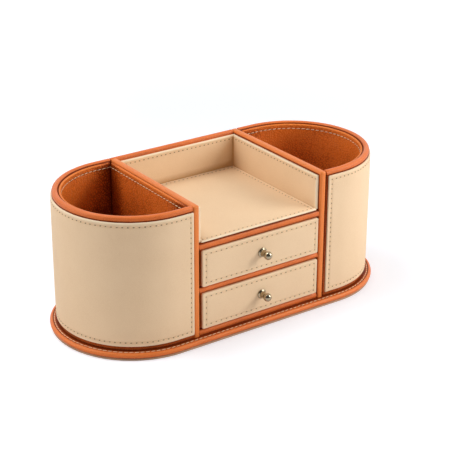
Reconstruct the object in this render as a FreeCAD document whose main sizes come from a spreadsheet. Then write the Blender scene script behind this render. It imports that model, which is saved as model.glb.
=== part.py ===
# Desk organizer of leather-wrapped board: a memo tray over two drawers, between two end cups.
# Millimetres. Origin: centre of the underside. +X to the right, -Y to the front, +Z up.

import FreeCAD, Part
import math
import os
import Sketcher

# ---------------------------------------------------------------------------------------------
# Driving sizes
# ---------------------------------------------------------------------------------------------

SIZES = {
    # Base
    "length": 290.0,              # base plate, end to end
    "depth": 135.0,               # base plate, front to back; its ends are half circles
    "plate_thick": 4.4,           # wrapped board of the base
    "sheet_thick": 1.6,           # non-slip sheet glued under the plate
    "sheet_inset": 1.0,           # from the plate's edge in to the sheet's edge
    # Walls
    "ledge": 6.2,                 # how far the base stands out round the walls
    "wall_height": 109.0,         # from the plate's top to the rim
    "wall_thick": 5.0,            # end walls and back wall, at the rolled rim
    "rim_drop": 3.9,              # height of the rolled rim, down to the rebate below it
    "rebate": 0.1,                # how far the wall below the rim is set in
    "crest": 0.3,                 # flat left between the two roundings of a rolled edge
    "tray_width": 114.0,          # between the partitions
    "partition_thick": 5.5,
    # Leather panels glued round the outside
    "panel_thick": 1.1,
    "panel_lift": 3.4,            # from the plate's top up to the panel's lower edge
    "panel_gap": 0.4,             # between the panel's upper edge and the rim's roll
    "seam_gap": 0.8,              # beside a post, and between two panels
    # Cup linings
    "liner_thick": 2.2,
    "liner_drop": 1.6,            # from the rim down to the lining's rolled top
    "cup_pad_thick": 2.0,
    "cup_pad_gap": 0.3,
    # Boards across the middle
    "bay_floor_thick": 4.5,
    "bay_height": 31.7,           # clear height of each drawer bay
    "divider_thick": 4.0,
    "shelf_thick": 5.5,
    "board_recess": 0.8,          # the boards' front edges stand this far behind the posts
    # Memo tray linings
    "lining_thick": 2.5,
    "lining_drop": 3.0,           # from the rim down to the lining's top
    "lining_setback": 2.6,        # from the posts' front back to the lining's front edge
    "lining_round": 0.7,
    "tray_pad_thick": 1.4,
    "tray_pad_setback": 0.6,      # from the shelf's front edge back to the pad's
    "tray_pad_round": 0.6,
    # Drawers
    "front_side_gap": 1.85,       # beside a drawer front
    "front_foot_gap": 1.2,        # below a drawer front
    "front_top_gap": 0.5,         # above a drawer front
    "face_proud": 1.0,            # the fronts stand this far out of the posts
    "face_thick": 2.0,            # padded leather face
    "face_round": 1.0,
    "front_board_thick": 3.0,
    "front_board_inset": 0.4,
    "box_inset": 0.6,             # from the front's end in to the drawer box
    "side_thick": 2.5,
    "side_height": 26.0,
    "side_edge": 0.6,             # bevel along the top of the sides and the back
    "bottom_thick": 2.0,
    "drawer_clear": 0.4,          # under the drawer box
    "drawer_back_gap": 0.4,       # between the closed drawer and the back wall
    "drawer_lining_thick": 0.8,
    "drawer_lining_gap": 0.3,
    # Knobs: ball, neck and disc turned in one piece, tapped for a screw from inside the drawer
    "disc_radius": 3.7,
    "disc_thick": 1.2,
    "disc_edge": 0.4,             # bevel round its face
    "neck_radius": 1.7,
    "ball_radius": 2.8,
    "knob_reach": 10.5,           # from the drawer's face to the end of the ball
    "screw_radius": 1.0,
    "thread_clear": 0.05,         # between the screw and the knob's tapped hole
    "hole_clear": 0.3,            # round the screw in the drawer front
    "screw_bite": 5.2,            # length of screw inside the knob
    "tap_spare": 0.6,             # tapped hole beyond the screw's end
    "head_radius": 2.0,
    "head_thick": 1.4,
    "slot_width": 0.6,
    "slot_depth": 0.7,
}

# Places and sizes that follow from the driving ones.
PLACES = {
    "straight_half": "(Sizes.length - Sizes.depth) / 2",
    "plate_radius": "Sizes.depth / 2",
    "plate_roll": "(Sizes.plate_thick - Sizes.crest) / 2",
    "plate_top": "Sizes.sheet_thick + Sizes.plate_thick",
    "sheet_radius": "Places.plate_radius - Sizes.sheet_inset",
    "rim_top": "Places.plate_top + Sizes.wall_height",
    "rim_radius": "Places.plate_radius - Sizes.ledge",
    "core_radius": "Places.rim_radius - Sizes.rebate",
    "hollow_radius": "Places.rim_radius - Sizes.wall_thick",
    "rim_roll": "(Sizes.wall_thick - Sizes.crest) / 2",
    "post_roll": "(Sizes.partition_thick - Sizes.crest) / 2",
    "rebate_height": "Sizes.wall_height - Sizes.rim_drop",
    "tray_half": "Sizes.tray_width / 2",
    "wall_start": "Places.tray_half + Sizes.partition_thick",
    "panel_start": "Places.wall_start + Sizes.seam_gap",
    "panel_radius": "Places.core_radius + Sizes.panel_thick",
    "panel_bottom": "Places.plate_top + Sizes.panel_lift",
    "panel_height": "Places.rebate_height - Sizes.panel_lift - Sizes.panel_gap",
    "liner_height": "Sizes.wall_height - Sizes.liner_drop",
    "liner_roll": "(Sizes.liner_thick - Sizes.crest) / 2",
    "liner_start": "Places.wall_start + Sizes.liner_thick",
    "liner_radius": "Places.hollow_radius - Sizes.liner_thick",
    "cup_pad_start": "Places.liner_start + Sizes.cup_pad_gap",
    "cup_pad_radius": "Places.liner_radius - Sizes.cup_pad_gap",
    "lower_bay": "Places.plate_top + Sizes.bay_floor_thick",
    "divider_bottom": "Places.lower_bay + Sizes.bay_height",
    "upper_bay": "Places.divider_bottom + Sizes.divider_thick",
    "shelf_bottom": "Places.upper_bay + Sizes.bay_height",
    "shelf_top": "Places.shelf_bottom + Sizes.shelf_thick",
    "board_front": "Sizes.board_recess - Places.rim_radius",
    "lining_front": "Sizes.lining_setback - Places.rim_radius",
    "lining_height": "Places.rim_top - Sizes.lining_drop - Places.shelf_top",
    "lining_back": "Places.hollow_radius - Sizes.lining_thick",
    "lining_inner": "Places.tray_half - Sizes.lining_thick",
    "face_front": "-Places.rim_radius - Sizes.face_proud",
    "front_half": "Places.tray_half - Sizes.front_side_gap",
    "front_height": "Sizes.bay_height - Sizes.front_foot_gap - Sizes.front_top_gap",
    "front_board_half": "Places.front_half - Sizes.front_board_inset",
    "front_board_front": "Places.face_front + Sizes.face_thick",
    "box_half": "Places.front_half - Sizes.box_inset",
    "box_inner": "Places.box_half - Sizes.side_thick",
    "box_front": "Places.front_board_front + Sizes.front_board_thick",
    "box_back": "Places.hollow_radius - Sizes.drawer_back_gap",
    "box_length": "Places.box_back - Places.box_front",
    "inside_length": "Places.box_length - Sizes.side_thick",
    "hole_radius": "Sizes.screw_radius + Sizes.hole_clear",
    "tap_radius": "Sizes.screw_radius + Sizes.thread_clear",
    "tap_end": "Sizes.screw_bite + Sizes.tap_spare",
    "disc_shoulder": "Sizes.disc_radius - Sizes.disc_edge",
    "disc_corner": "Sizes.disc_thick - Sizes.disc_edge",
    "grip": "Sizes.face_thick + Sizes.front_board_thick",
    "ball_centre": "Sizes.knob_reach - Sizes.ball_radius",
}

LEFT_END_TURN = 180.0             # the left end is the right end turned about +Z
ROUND = 360.0
TOUCH = 0.01                      # how near an edge lies to a side that it is on
BALL_FLATS = 6                    # narrow flats that a knob's ball is turned in, tip to neck

# Three flats that touch a quarter circle cut this much off a corner, as shares of its radius:
# the middle flat first, then one at each of its edges.
MIDDLE_CUT = 2 - math.sqrt(2)
OUTER_CUT = math.tan(math.pi / 8) - math.tan(math.pi / 16)

doc = FreeCAD.newDocument("desk_organizer")
sub_parts = []


def make_sheet():
    """Write the driving sizes into the spreadsheet, one alias to a row."""
    sheet = doc.addObject("Spreadsheet::Sheet", "Sizes")
    for row, (alias, size) in enumerate(SIZES.items(), 1):
        sheet.set(f"A{row}", alias)
        sheet.set(f"B{row}", str(size))
        sheet.setAlias(f"B{row}", alias)
    doc.recompute()
    return sheet


def make_places():
    """Bind each derived place to the sheet, in a variable set that the sub-parts refer to."""
    places = doc.addObject("App::VarSet", "Places")
    for name, formula in PLACES.items():
        places.addProperty("App::PropertyFloat", name, "Places")
        places.setExpression(name, formula)
    doc.recompute()
    return places


sheet = make_sheet()
places = make_places()


def bind(item, **formulas):
    """Bind properties of an object to expressions."""
    for name, formula in formulas.items():
        item.setExpression(name, formula)


def place(body, x="0", y="0", z="0"):
    """Bind a body's place to expressions."""
    for axis, formula in zip("xyz", (x, y, z)):
        body.setExpression(f".Placement.Base.{axis}", formula)


def new_body(node):
    """Start one sub-part; its label names its file."""
    body = doc.addObject("PartDesign::Body", node)
    body.Label = node
    sub_parts.append(body)
    return body


def new_sketch(body, role, height="0"):
    """A sketch on one of the body's own origin planes, raised along its normal."""
    sketch = body.newObject("Sketcher::SketchObject", body.Name + "_sketch")
    plane = next(item for item in body.Origin.OriginFeatures if item.Role == role)
    sketch.AttachmentSupport = (plane, "")
    sketch.MapMode = "FlatFace"
    sketch.setExpression(".AttachmentOffset.Base.z", height)
    return sketch


def name_constraint(sketch, constraint, name, formula):
    """Add a dimension to a sketch and bind it to an expression."""
    index = sketch.addConstraint(constraint)
    sketch.renameConstraint(index, name)
    sketch.setExpression("Constraints." + name, formula)


def add_arc(sketch, x, radius, low, high):
    """An arc about a point of the X axis, between two angles in quarter turns."""
    centre = FreeCAD.Vector(x, 0, 0)
    circle = Part.Circle(centre, FreeCAD.Vector(0, 0, 1), radius)
    return sketch.addGeometry(Part.ArcOfCircle(circle, low * math.pi / 2, high * math.pi / 2))


def add_line(sketch, start, end):
    return sketch.addGeometry(Part.LineSegment(FreeCAD.Vector(*start, 0), FreeCAD.Vector(*end, 0)))


def stadium(body, radius, height="0"):
    """A sketch of two straight sides and a half circle round each end of the organizer."""
    sketch = new_sketch(body, "XY_Plane", height)
    x1 = places.straight_half
    y1 = getattr(places, radius)
    front = add_line(sketch, (-x1, -y1), (x1, -y1))
    right = add_arc(sketch, x1, y1, -1, 1)
    back = add_line(sketch, (x1, y1), (-x1, y1))
    left = add_arc(sketch, -x1, y1, 1, 3)
    for first, second in ((front, right), (right, back), (back, left), (left, front)):
        sketch.addConstraint(Sketcher.Constraint("Coincident", first, 2, second, 1))
    sketch.addConstraint(Sketcher.Constraint("Horizontal", front))
    for arc in (right, left):
        sketch.addConstraint(Sketcher.Constraint("PointOnObject", arc, 3, -1))
        sketch.addConstraint(Sketcher.Constraint("Vertical", arc, 1, arc, 3))
        sketch.addConstraint(Sketcher.Constraint("Vertical", arc, 2, arc, 3))
    reach = Sketcher.Constraint("DistanceX", -1, 1, right, 3, x1)
    name_constraint(sketch, reach, "centre", "Places.straight_half")
    reach = Sketcher.Constraint("DistanceX", left, 3, -1, 1, x1)
    name_constraint(sketch, reach, "far_centre", "Places.straight_half")
    size = Sketcher.Constraint("Radius", right, y1)
    name_constraint(sketch, size, "radius", "Places." + radius)
    return sketch


def pad(body, sketch, height):
    """Add material upwards from a sketch."""
    feature = body.newObject("PartDesign::Pad", body.Name + "_pad")
    feature.Profile = sketch
    bind(feature, Length=height)
    sketch.Visibility = False
    doc.recompute()
    return feature


def pocket_up(body, sketch, height):
    """Cut upwards from a sketch, and make sure that something was cut."""
    before = body.Shape.Volume
    feature = body.newObject("PartDesign::Pocket", body.Name + "_pocket")
    feature.Profile = sketch
    feature.Reversed = True
    bind(feature, Length=height)
    doc.recompute()
    check_cut(body, before)
    return feature


def check_cut(body, before):
    if not body.Shape.Volume < before:
        raise RuntimeError(f"{body.Label}: a cut removed nothing")


def on_side(edge, box, side):
    """Whether an edge lies in one side of a box, such as XMin."""
    level = getattr(box, side)
    low = getattr(edge.BoundBox, side[0] + "Min")
    high = getattr(edge.BoundBox, side[0] + "Max")
    return abs(low - level) < TOUCH and abs(high - level) < TOUCH


def edges_on(body, *side_sets, apart_from=()):
    """Names of the edges that lie in all sides of one of the sets, and in none left out."""
    shape = body.Tip.Shape
    names = []
    for number, edge in enumerate(shape.Edges, 1):
        wanted = any(all(on_side(edge, shape.BoundBox, side) for side in sides)
                     for sides in side_sets)
        refused = any(on_side(edge, shape.BoundBox, side) for side in apart_from)
        if wanted and not refused:
            names.append(f"Edge{number}")
    return names


def round_edges(body, edges, radius):
    """Fillet some edges of a body."""
    if not edges:
        raise RuntimeError(f"{body.Label}: no edge to round")
    base = body.Tip
    feature = body.newObject("PartDesign::Fillet", body.Name + "_fillet")
    feature.Base = (base, edges)
    bind(feature, Radius=radius)
    doc.recompute()


def bevel_edges(body, edges, size):
    """Chamfer some edges of a body."""
    if not edges:
        raise RuntimeError(f"{body.Label}: no edge to bevel")
    base = body.Tip
    feature = body.newObject("PartDesign::Chamfer", body.Name + "_chamfer")
    feature.Base = (base, edges)
    bind(feature, Size=size)
    doc.recompute()


def loop_edges(body, level, radius):
    """Edges of one stadium-shaped loop, found by its height and its radius."""
    names = []
    for number, edge in enumerate(body.Tip.Shape.Edges, 1):
        box = edge.BoundBox
        from_middle = max(abs(box.YMin), abs(box.YMax))
        straight = box.YLength < TOUCH and abs(from_middle - radius) < TOUCH
        curved = isinstance(edge.Curve, Part.Circle) and abs(edge.Curve.Radius - radius) < TOUCH
        flat = abs(box.ZMin - level) < TOUCH and abs(box.ZMax - level) < TOUCH
        if flat and (straight or curved):
            names.append(f"Edge{number}")
    return names


def roll_loop(body, roll, level, radius, up, outwards):
    """Roll one loop of a board's edge, in three flats that touch a quarter circle.

    The last two say which way the material lies: 1 or -1, up and outwards.
    """
    middle = MIDDLE_CUT * getattr(places, roll)
    bevel_edges(body, loop_edges(body, level, radius), f"{MIDDLE_CUT} * Places.{roll}")
    corners = loop_edges(body, level, radius + outwards * middle)
    corners += loop_edges(body, level + up * middle, radius)
    bevel_edges(body, corners, f"{OUTER_CUT} * Places.{roll}")


def board(node, x, y, z, width, depth, height):
    """A flat board, with one corner at its body's origin."""
    body = new_body(node)
    block = body.newObject("PartDesign::AdditiveBox", node + "_block")
    bind(block, Length=width, Width=depth, Height=height)
    place(body, x, y, z)
    doc.recompute()
    return body


# ---------------------------------------------------------------------------------------------
# Base
# ---------------------------------------------------------------------------------------------

def base_plate():
    """Wrapped board with a rolled edge."""
    body = new_body("base_plate")
    pad(body, stadium(body, "plate_radius"), "Sizes.plate_thick")
    radius = places.plate_radius
    bevel_edges(body, loop_edges(body, 0, radius), f"{MIDDLE_CUT} * Places.plate_roll")
    roll_loop(body, "plate_roll", SIZES["plate_thick"], radius, -1, -1)
    place(body, z="Sizes.sheet_thick")


def base_sheet():
    """Non-slip sheet under the plate, inside its rolled edge."""
    body = new_body("base_sheet")
    pad(body, stadium(body, "sheet_radius"), "Sizes.sheet_thick")


# ---------------------------------------------------------------------------------------------
# Ends: a stadium-shaped ring cut off at the partition; the left end is the right one turned
# ---------------------------------------------------------------------------------------------

def keep_right_end(body, start, height):
    """Cut away everything to the left of x = start."""
    before = body.Shape.Volume
    cutter = body.newObject("PartDesign::SubtractiveBox", body.Name + "_cutter")
    bind(cutter, Length=f"Sizes.length / 2 + {start}", Width="Sizes.depth", Height=height)
    cutter.setExpression(".Placement.Base.x", "-Sizes.length / 2")
    cutter.setExpression(".Placement.Base.y", "-Sizes.depth / 2")
    doc.recompute()
    check_cut(body, before)


def turn(body, angle):
    body.Placement.Rotation = FreeCAD.Rotation(FreeCAD.Vector(0, 0, 1), angle)


def end_wall(side, angle):
    """Curved wall: a set-in core, a rim that stands out over it, and the hollow of the cup."""
    body = new_body(side + "_end_wall")
    pad(body, stadium(body, "core_radius"), "Sizes.wall_height")
    pad(body, stadium(body, "rim_radius", "Places.rebate_height"), "Sizes.rim_drop")
    pocket_up(body, stadium(body, "hollow_radius"), "Sizes.wall_height")
    top = SIZES["wall_height"]
    bevel_edges(body, loop_edges(body, top, places.hollow_radius), f"{MIDDLE_CUT} * Places.rim_roll")
    roll_loop(body, "rim_roll", top, places.rim_radius, -1, -1)
    keep_right_end(body, "Places.wall_start", "Sizes.wall_height")
    place(body, z="Places.plate_top")
    turn(body, angle)


def outer_panel(side, angle):
    """Stitched leather panel glued round the outside of an end wall."""
    body = new_body(side + "_outer_panel")
    pad(body, stadium(body, "panel_radius"), "Places.panel_height")
    pocket_up(body, stadium(body, "core_radius"), "Places.panel_height")
    keep_right_end(body, "Places.panel_start", "Places.panel_height")
    place(body, z="Places.panel_bottom")
    turn(body, angle)


def curved_liner(side, angle):
    """Lining round the curve of a cup, with its own bevelled top."""
    body = new_body(side + "_cup_curved_liner")
    pad(body, stadium(body, "hollow_radius"), "Places.liner_height")
    pocket_up(body, stadium(body, "liner_radius"), "Places.liner_height")
    top = loop_edges(body, places.liner_height, places.liner_radius)
    bevel_edges(body, top, f"{MIDDLE_CUT} * Places.liner_roll")
    keep_right_end(body, "Places.liner_start", "Places.liner_height")
    place(body, z="Places.plate_top")
    turn(body, angle)


def flat_liner(side, x):
    """Lining of a cup on the partition's side."""
    body = board(side + "_cup_flat_liner", x, "-Places.hollow_radius", "Places.plate_top",
                 "Sizes.liner_thick", "2 * Places.hollow_radius", "Places.liner_height")
    round_edges(body, edges_on(body, ("ZMax", "XMin"), ("ZMax", "XMax")), "Places.liner_roll")


def cup_pad(side, angle):
    """Floor pad of a cup."""
    body = new_body(side + "_cup_floor_pad")
    pad(body, stadium(body, "cup_pad_radius"), "Sizes.cup_pad_thick")
    keep_right_end(body, "Places.cup_pad_start", "Sizes.cup_pad_thick")
    place(body, z="Places.plate_top")
    turn(body, angle)


# ---------------------------------------------------------------------------------------------
# Middle: partitions, back, boards and the memo tray
# ---------------------------------------------------------------------------------------------

def cut_rebate(body, width, depth):
    """Set in the back face of a board below the rim."""
    before = body.Shape.Volume
    cutter = body.newObject("PartDesign::SubtractiveBox", body.Name + "_rebate")
    bind(cutter, Length=width, Width="Sizes.rebate", Height="Places.rebate_height")
    cutter.setExpression(".Placement.Base.y", f"{depth} - Sizes.rebate")
    doc.recompute()
    check_cut(body, before)


def partition(node, x, depth):
    """A partition from the posts back; its front edge is a post."""
    return board(node, x, "-Places.rim_radius", "Places.plate_top",
                 "Sizes.partition_thick", depth, "Sizes.wall_height")


def partitions():
    """The right one runs through to the back; the left one stops at the back wall."""
    left = partition("left_partition", "-Places.wall_start",
                     "Places.hollow_radius + Places.rim_radius")
    right = partition("right_partition", "Places.tray_half", "2 * Places.rim_radius")
    cut_rebate(right, "Sizes.partition_thick", "2 * Places.rim_radius")
    for body in (left, right):
        posts = edges_on(body, ("YMin", "XMin"), ("YMin", "XMax"), ("ZMax", "XMin"), ("ZMax", "XMax"))
        round_edges(body, posts, "Places.post_roll")


def back_wall():
    """Wall behind the tray and the drawers, from the left end wall to the right partition."""
    width = "Places.wall_start + Places.tray_half"
    body = board("back_wall", "-Places.wall_start", "Places.hollow_radius", "Places.plate_top",
                 width, "Sizes.wall_thick", "Sizes.wall_height")
    cut_rebate(body, width, "Sizes.wall_thick")
    round_edges(body, edges_on(body, ("ZMax", "YMin"), ("ZMax", "YMax")), "Places.rim_roll")


def back_panel():
    """Stitched leather panel on the back, between the two end panels."""
    board("back_outer_panel", "-Places.wall_start", "Places.core_radius", "Places.panel_bottom",
          "2 * Places.wall_start", "Sizes.panel_thick", "Places.panel_height")


def cross_board(node, z, thickness):
    """A board between the partitions, with a rolled front edge."""
    body = board(node, "-Places.tray_half", "Places.board_front", z,
                 "Sizes.tray_width", "Places.hollow_radius - Places.board_front", thickness)
    front = edges_on(body, ("YMin", "ZMin"), ("YMin", "ZMax"))
    round_edges(body, front, f"({thickness} - Sizes.crest) / 2")


def tray_linings():
    """Back, side and floor linings of the memo tray."""
    back = board("tray_back_lining", "-Places.tray_half", "Places.lining_back",
                 "Places.shelf_top", "Sizes.tray_width", "Sizes.lining_thick",
                 "Places.lining_height")
    round_edges(back, edges_on(back, ("ZMax", "YMin"), ("ZMax", "YMax")), "Sizes.lining_round")
    for node, x in (("tray_left_lining", "-Places.tray_half"),
                    ("tray_right_lining", "Places.lining_inner")):
        side = board(node, x, "Places.lining_front", "Places.shelf_top", "Sizes.lining_thick",
                     "Places.lining_back - Places.lining_front", "Places.lining_height")
        edges = edges_on(side, ("ZMax", "XMin"), ("ZMax", "XMax"), ("YMin", "XMin"), ("YMin", "XMax"))
        round_edges(side, edges, "Sizes.lining_round")
    floor = board("tray_floor_pad", "-Places.lining_inner",
                  "Places.board_front + Sizes.tray_pad_setback", "Places.shelf_top",
                  "2 * Places.lining_inner",
                  "Places.lining_back - Places.board_front - Sizes.tray_pad_setback",
                  "Sizes.tray_pad_thick")
    round_edges(floor, edges_on(floor, ("ZMax", "YMin")), "Sizes.tray_pad_round")


# ---------------------------------------------------------------------------------------------
# Drawers
# ---------------------------------------------------------------------------------------------

def cut_screw_hole(body, x, z, thickness):
    """Clearance hole for the knob's screw, front to back through a board."""
    before = body.Shape.Volume
    drill = body.newObject("PartDesign::SubtractiveCylinder", body.Name + "_hole")
    bind(drill, Radius="Places.hole_radius", Height=thickness)
    drill.Placement.Rotation = FreeCAD.Rotation(FreeCAD.Vector(1, 0, 0), -ROUND / 4)
    drill.setExpression(".Placement.Base.x", x)
    drill.setExpression(".Placement.Base.z", z)
    doc.recompute()
    check_cut(body, before)


def drawer_front(name, bottom):
    """Padded leather face on a board, both drilled for the knob's screw."""
    face = board(name + "_face", "-Places.front_half", "Places.face_front", bottom,
                 "2 * Places.front_half", "Sizes.face_thick", "Places.front_height")
    cut_screw_hole(face, "Places.front_half", "Places.front_height / 2", "Sizes.face_thick")
    outer = edges_on(face, ("YMin", "ZMin"), ("YMin", "ZMax"), ("YMin", "XMin"), ("YMin", "XMax"))
    round_edges(face, outer, "Sizes.face_round")
    inset = "Sizes.front_board_inset"
    back = board(name + "_front_board", "-Places.front_board_half", "Places.front_board_front",
                 f"{bottom} + {inset}", "2 * Places.front_board_half", "Sizes.front_board_thick",
                 f"Places.front_height - 2 * {inset}")
    cut_screw_hole(back, "Places.front_board_half", f"Places.front_height / 2 - {inset}",
                   "Sizes.front_board_thick")


def drawer_box(name, bay):
    """Sides, back, bottom and lining of a drawer."""
    floor = f"{bay} + Sizes.drawer_clear"
    for side, x in (("left", "-Places.box_half"), ("right", "Places.box_inner")):
        body = board(f"{name}_{side}_side", x, "Places.box_front", floor,
                     "Sizes.side_thick", "Places.box_length", "Sizes.side_height")
        bevel_edges(body, edges_on(body, ("ZMax", "XMin"), ("ZMax", "XMax")), "Sizes.side_edge")
    back = board(name + "_back", "-Places.box_inner", "Places.box_back - Sizes.side_thick", floor,
                 "2 * Places.box_inner", "Sizes.side_thick", "Sizes.side_height")
    bevel_edges(back, edges_on(back, ("ZMax", "YMin"), ("ZMax", "YMax")), "Sizes.side_edge")
    board(name + "_bottom", "-Places.box_inner", "Places.box_front", floor,
          "2 * Places.box_inner", "Places.inside_length", "Sizes.bottom_thick")
    gap = "Sizes.drawer_lining_gap"
    board(name + "_lining", f"{gap} - Places.box_inner", f"Places.box_front + {gap}",
          f"{floor} + Sizes.bottom_thick", f"2 * (Places.box_inner - {gap})",
          f"Places.inside_length - 2 * {gap}", "Sizes.drawer_lining_thick")


def knob_outline(sketch):
    """Half section: x is the radius, -y the distance out from the drawer's face."""
    tap = places.tap_radius
    neck = SIZES["neck_radius"]
    ball = SIZES["ball_radius"]
    disc = SIZES["disc_radius"]
    seat = -SIZES["disc_thick"]
    centre = -places.ball_centre
    neck_turn = math.asin(neck / ball)
    turns = [neck_turn * (1 - step / BALL_FLATS) + math.pi * step / BALL_FLATS
             for step in range(BALL_FLATS + 1)]
    ball_points = [(ball * math.sin(turn), centre + ball * math.cos(turn)) for turn in turns]
    points = [(tap, 0), (disc, 0), (disc, -places.disc_corner), (places.disc_shoulder, seat),
              (neck, seat), *ball_points, (0, -places.tap_end), (tap, -places.tap_end)]
    lines = [add_line(sketch, first, second) for first, second in zip(points, points[1:] + points[:1])]
    back, disc_side, disc_bevel, disc_face, side = lines[:5]
    flats = lines[5:5 + BALL_FLATS]
    core, drill_end, drill_side = lines[5 + BALL_FLATS:]
    for first, second in zip(lines, lines[1:] + lines[:1]):
        sketch.addConstraint(Sketcher.Constraint("Coincident", first, 2, second, 1))
    for line in (disc_side, side, drill_side):
        sketch.addConstraint(Sketcher.Constraint("Vertical", line))
    for line in (disc_face, drill_end):
        sketch.addConstraint(Sketcher.Constraint("Horizontal", line))
    for line, end in ((back, 1), (back, 2)):
        sketch.addConstraint(Sketcher.Constraint("PointOnObject", line, end, -1))
    for line, end in ((core, 1), (core, 2)):
        sketch.addConstraint(Sketcher.Constraint("PointOnObject", line, end, -2))
    round_ball = sketch.addGeometry(Part.Circle(FreeCAD.Vector(0, centre, 0),
                                                FreeCAD.Vector(0, 0, 1), ball), True)
    sketch.addConstraint(Sketcher.Constraint("PointOnObject", round_ball, 3, -2))
    for line in (*flats, core):
        sketch.addConstraint(Sketcher.Constraint("PointOnObject", line, 1, round_ball))
    for line in flats[1:]:
        sketch.addConstraint(Sketcher.Constraint("Equal", flats[0], line))
    ball_size = Sketcher.Constraint("Radius", round_ball, ball)
    name_constraint(sketch, ball_size, "ball", "Sizes.ball_radius")
    for name, line, end, reach, formula in (
            ("disc", disc_side, 1, disc, "Sizes.disc_radius"),
            ("disc_shoulder", disc_face, 1, places.disc_shoulder, "Places.disc_shoulder"),
            ("neck", side, 1, neck, "Sizes.neck_radius"),
            ("tap", drill_side, 1, tap, "Places.tap_radius")):
        name_constraint(sketch, Sketcher.Constraint("DistanceX", -1, 1, line, end, reach), name, formula)
    for name, line, end, reach, formula in (
            ("ball_centre", round_ball, 3, -centre, "Places.ball_centre"),
            ("disc_corner", disc_side, 2, places.disc_corner, "Places.disc_corner"),
            ("seat", side, 1, -seat, "Sizes.disc_thick"),
            ("tap_end", drill_side, 1, places.tap_end, "Places.tap_end")):
        name_constraint(sketch, Sketcher.Constraint("DistanceY", line, end, -1, 1, reach), name, formula)


def knob(name, height):
    """Turned ball knob on a neck and a disc, tapped for its screw."""
    body = new_body(name + "_knob")
    sketch = new_sketch(body, "XY_Plane")
    knob_outline(sketch)
    turned = body.newObject("PartDesign::Revolution", name + "_knob_turned")
    turned.Profile = sketch
    turned.ReferenceAxis = (sketch, ["V_Axis"])
    turned.Angle = ROUND
    place(body, y="Places.face_front", z=height)
    doc.recompute()


def knob_screw(name, height):
    """Slotted screw: its head seats inside the drawer and its end is in the knob."""
    body = new_body(name + "_knob_screw")
    shank = body.newObject("PartDesign::AdditiveCylinder", name + "_shank")
    bind(shank, Radius="Sizes.screw_radius", Height="Places.grip + Sizes.screw_bite")
    shank.setExpression(".Placement.Base.z", "-Places.grip")
    head = body.newObject("PartDesign::AdditiveCylinder", name + "_head")
    bind(head, Radius="Sizes.head_radius", Height="Sizes.head_thick")
    head.setExpression(".Placement.Base.z", "-Places.grip - Sizes.head_thick")
    doc.recompute()
    before = body.Shape.Volume
    slot = body.newObject("PartDesign::SubtractiveBox", name + "_slot")
    bind(slot, Length="2 * Sizes.head_radius", Width="Sizes.slot_width", Height="Sizes.slot_depth")
    slot.setExpression(".Placement.Base.x", "-Sizes.head_radius")
    slot.setExpression(".Placement.Base.y", "-Sizes.slot_width / 2")
    slot.setExpression(".Placement.Base.z", "-Places.grip - Sizes.head_thick")
    doc.recompute()
    check_cut(body, before)
    place(body, y="Places.face_front", z=height)
    body.Placement.Rotation = FreeCAD.Rotation(FreeCAD.Vector(1, 0, 0), ROUND / 4)


def drawer(name, bay):
    bottom = f"{bay} + Sizes.front_foot_gap"
    drawer_front(name, bottom)
    drawer_box(name, bay)
    middle = f"{bottom} + Places.front_height / 2"
    knob(name, middle)
    knob_screw(name, middle)


# ---------------------------------------------------------------------------------------------
# Build, check and export
# ---------------------------------------------------------------------------------------------

def check_and_export():
    """Stop if any object failed; otherwise write one STEP file for each sub-part."""
    doc.recompute()
    for item in doc.Objects:
        if "Invalid" in item.State or "Error" in item.State:
            raise RuntimeError(f"{item.Label} failed: {item.State}")
    for body in sub_parts:
        if body.Shape.isNull() or not body.Shape.isValid():
            raise RuntimeError(f"{body.Label} has no valid shape")
    os.makedirs("parts", exist_ok=True)
    for body in sub_parts:
        body.Shape.exportStep(f"parts/{body.Label}.step")
        print(f"{body.Label}: {body.Shape.Volume:.0f} mm3")


base_plate()
base_sheet()
for side, angle in (("right", 0.0), ("left", LEFT_END_TURN)):
    end_wall(side, angle)
    outer_panel(side, angle)
    curved_liner(side, angle)
    cup_pad(side, angle)
flat_liner("right", "Places.wall_start")
flat_liner("left", "-Places.liner_start")
partitions()
back_wall()
back_panel()
cross_board("bay_floor", "Places.plate_top", "Sizes.bay_floor_thick")
cross_board("drawer_divider", "Places.divider_bottom", "Sizes.divider_thick")
cross_board("tray_shelf", "Places.shelf_bottom", "Sizes.shelf_thick")
tray_linings()
drawer("upper_drawer", "Places.upper_bay")
drawer("lower_drawer", "Places.lower_bay")
check_and_export()
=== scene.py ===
import math

import bmesh
import bpy
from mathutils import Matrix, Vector


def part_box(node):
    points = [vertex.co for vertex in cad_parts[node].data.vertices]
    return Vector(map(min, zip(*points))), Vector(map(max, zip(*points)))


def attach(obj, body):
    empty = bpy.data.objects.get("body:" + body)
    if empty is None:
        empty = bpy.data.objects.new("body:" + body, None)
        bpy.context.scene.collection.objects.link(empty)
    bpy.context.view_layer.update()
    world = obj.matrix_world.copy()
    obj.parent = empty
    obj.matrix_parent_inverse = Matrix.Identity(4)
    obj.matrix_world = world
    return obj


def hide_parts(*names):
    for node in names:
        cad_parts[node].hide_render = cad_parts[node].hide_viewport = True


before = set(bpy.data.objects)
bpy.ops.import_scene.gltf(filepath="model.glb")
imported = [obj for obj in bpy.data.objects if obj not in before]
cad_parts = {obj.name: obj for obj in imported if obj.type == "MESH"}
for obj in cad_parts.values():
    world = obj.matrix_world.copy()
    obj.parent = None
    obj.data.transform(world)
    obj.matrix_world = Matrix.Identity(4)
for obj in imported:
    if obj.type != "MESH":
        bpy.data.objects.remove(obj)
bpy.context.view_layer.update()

bl_info = {
    "name": "Stitched Desk Organizer",
    "version": (1, 0, 0),
    "blender": (4, 5, 0),
    "location": "3D View > Sidebar > Organizer",
    "description": "Dresses the desk organizer's frame in wrapped board, padded leather and stitching",
    "category": "Object",
}

MM = 0.001

# ---- Layout, read from the frame ----

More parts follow.
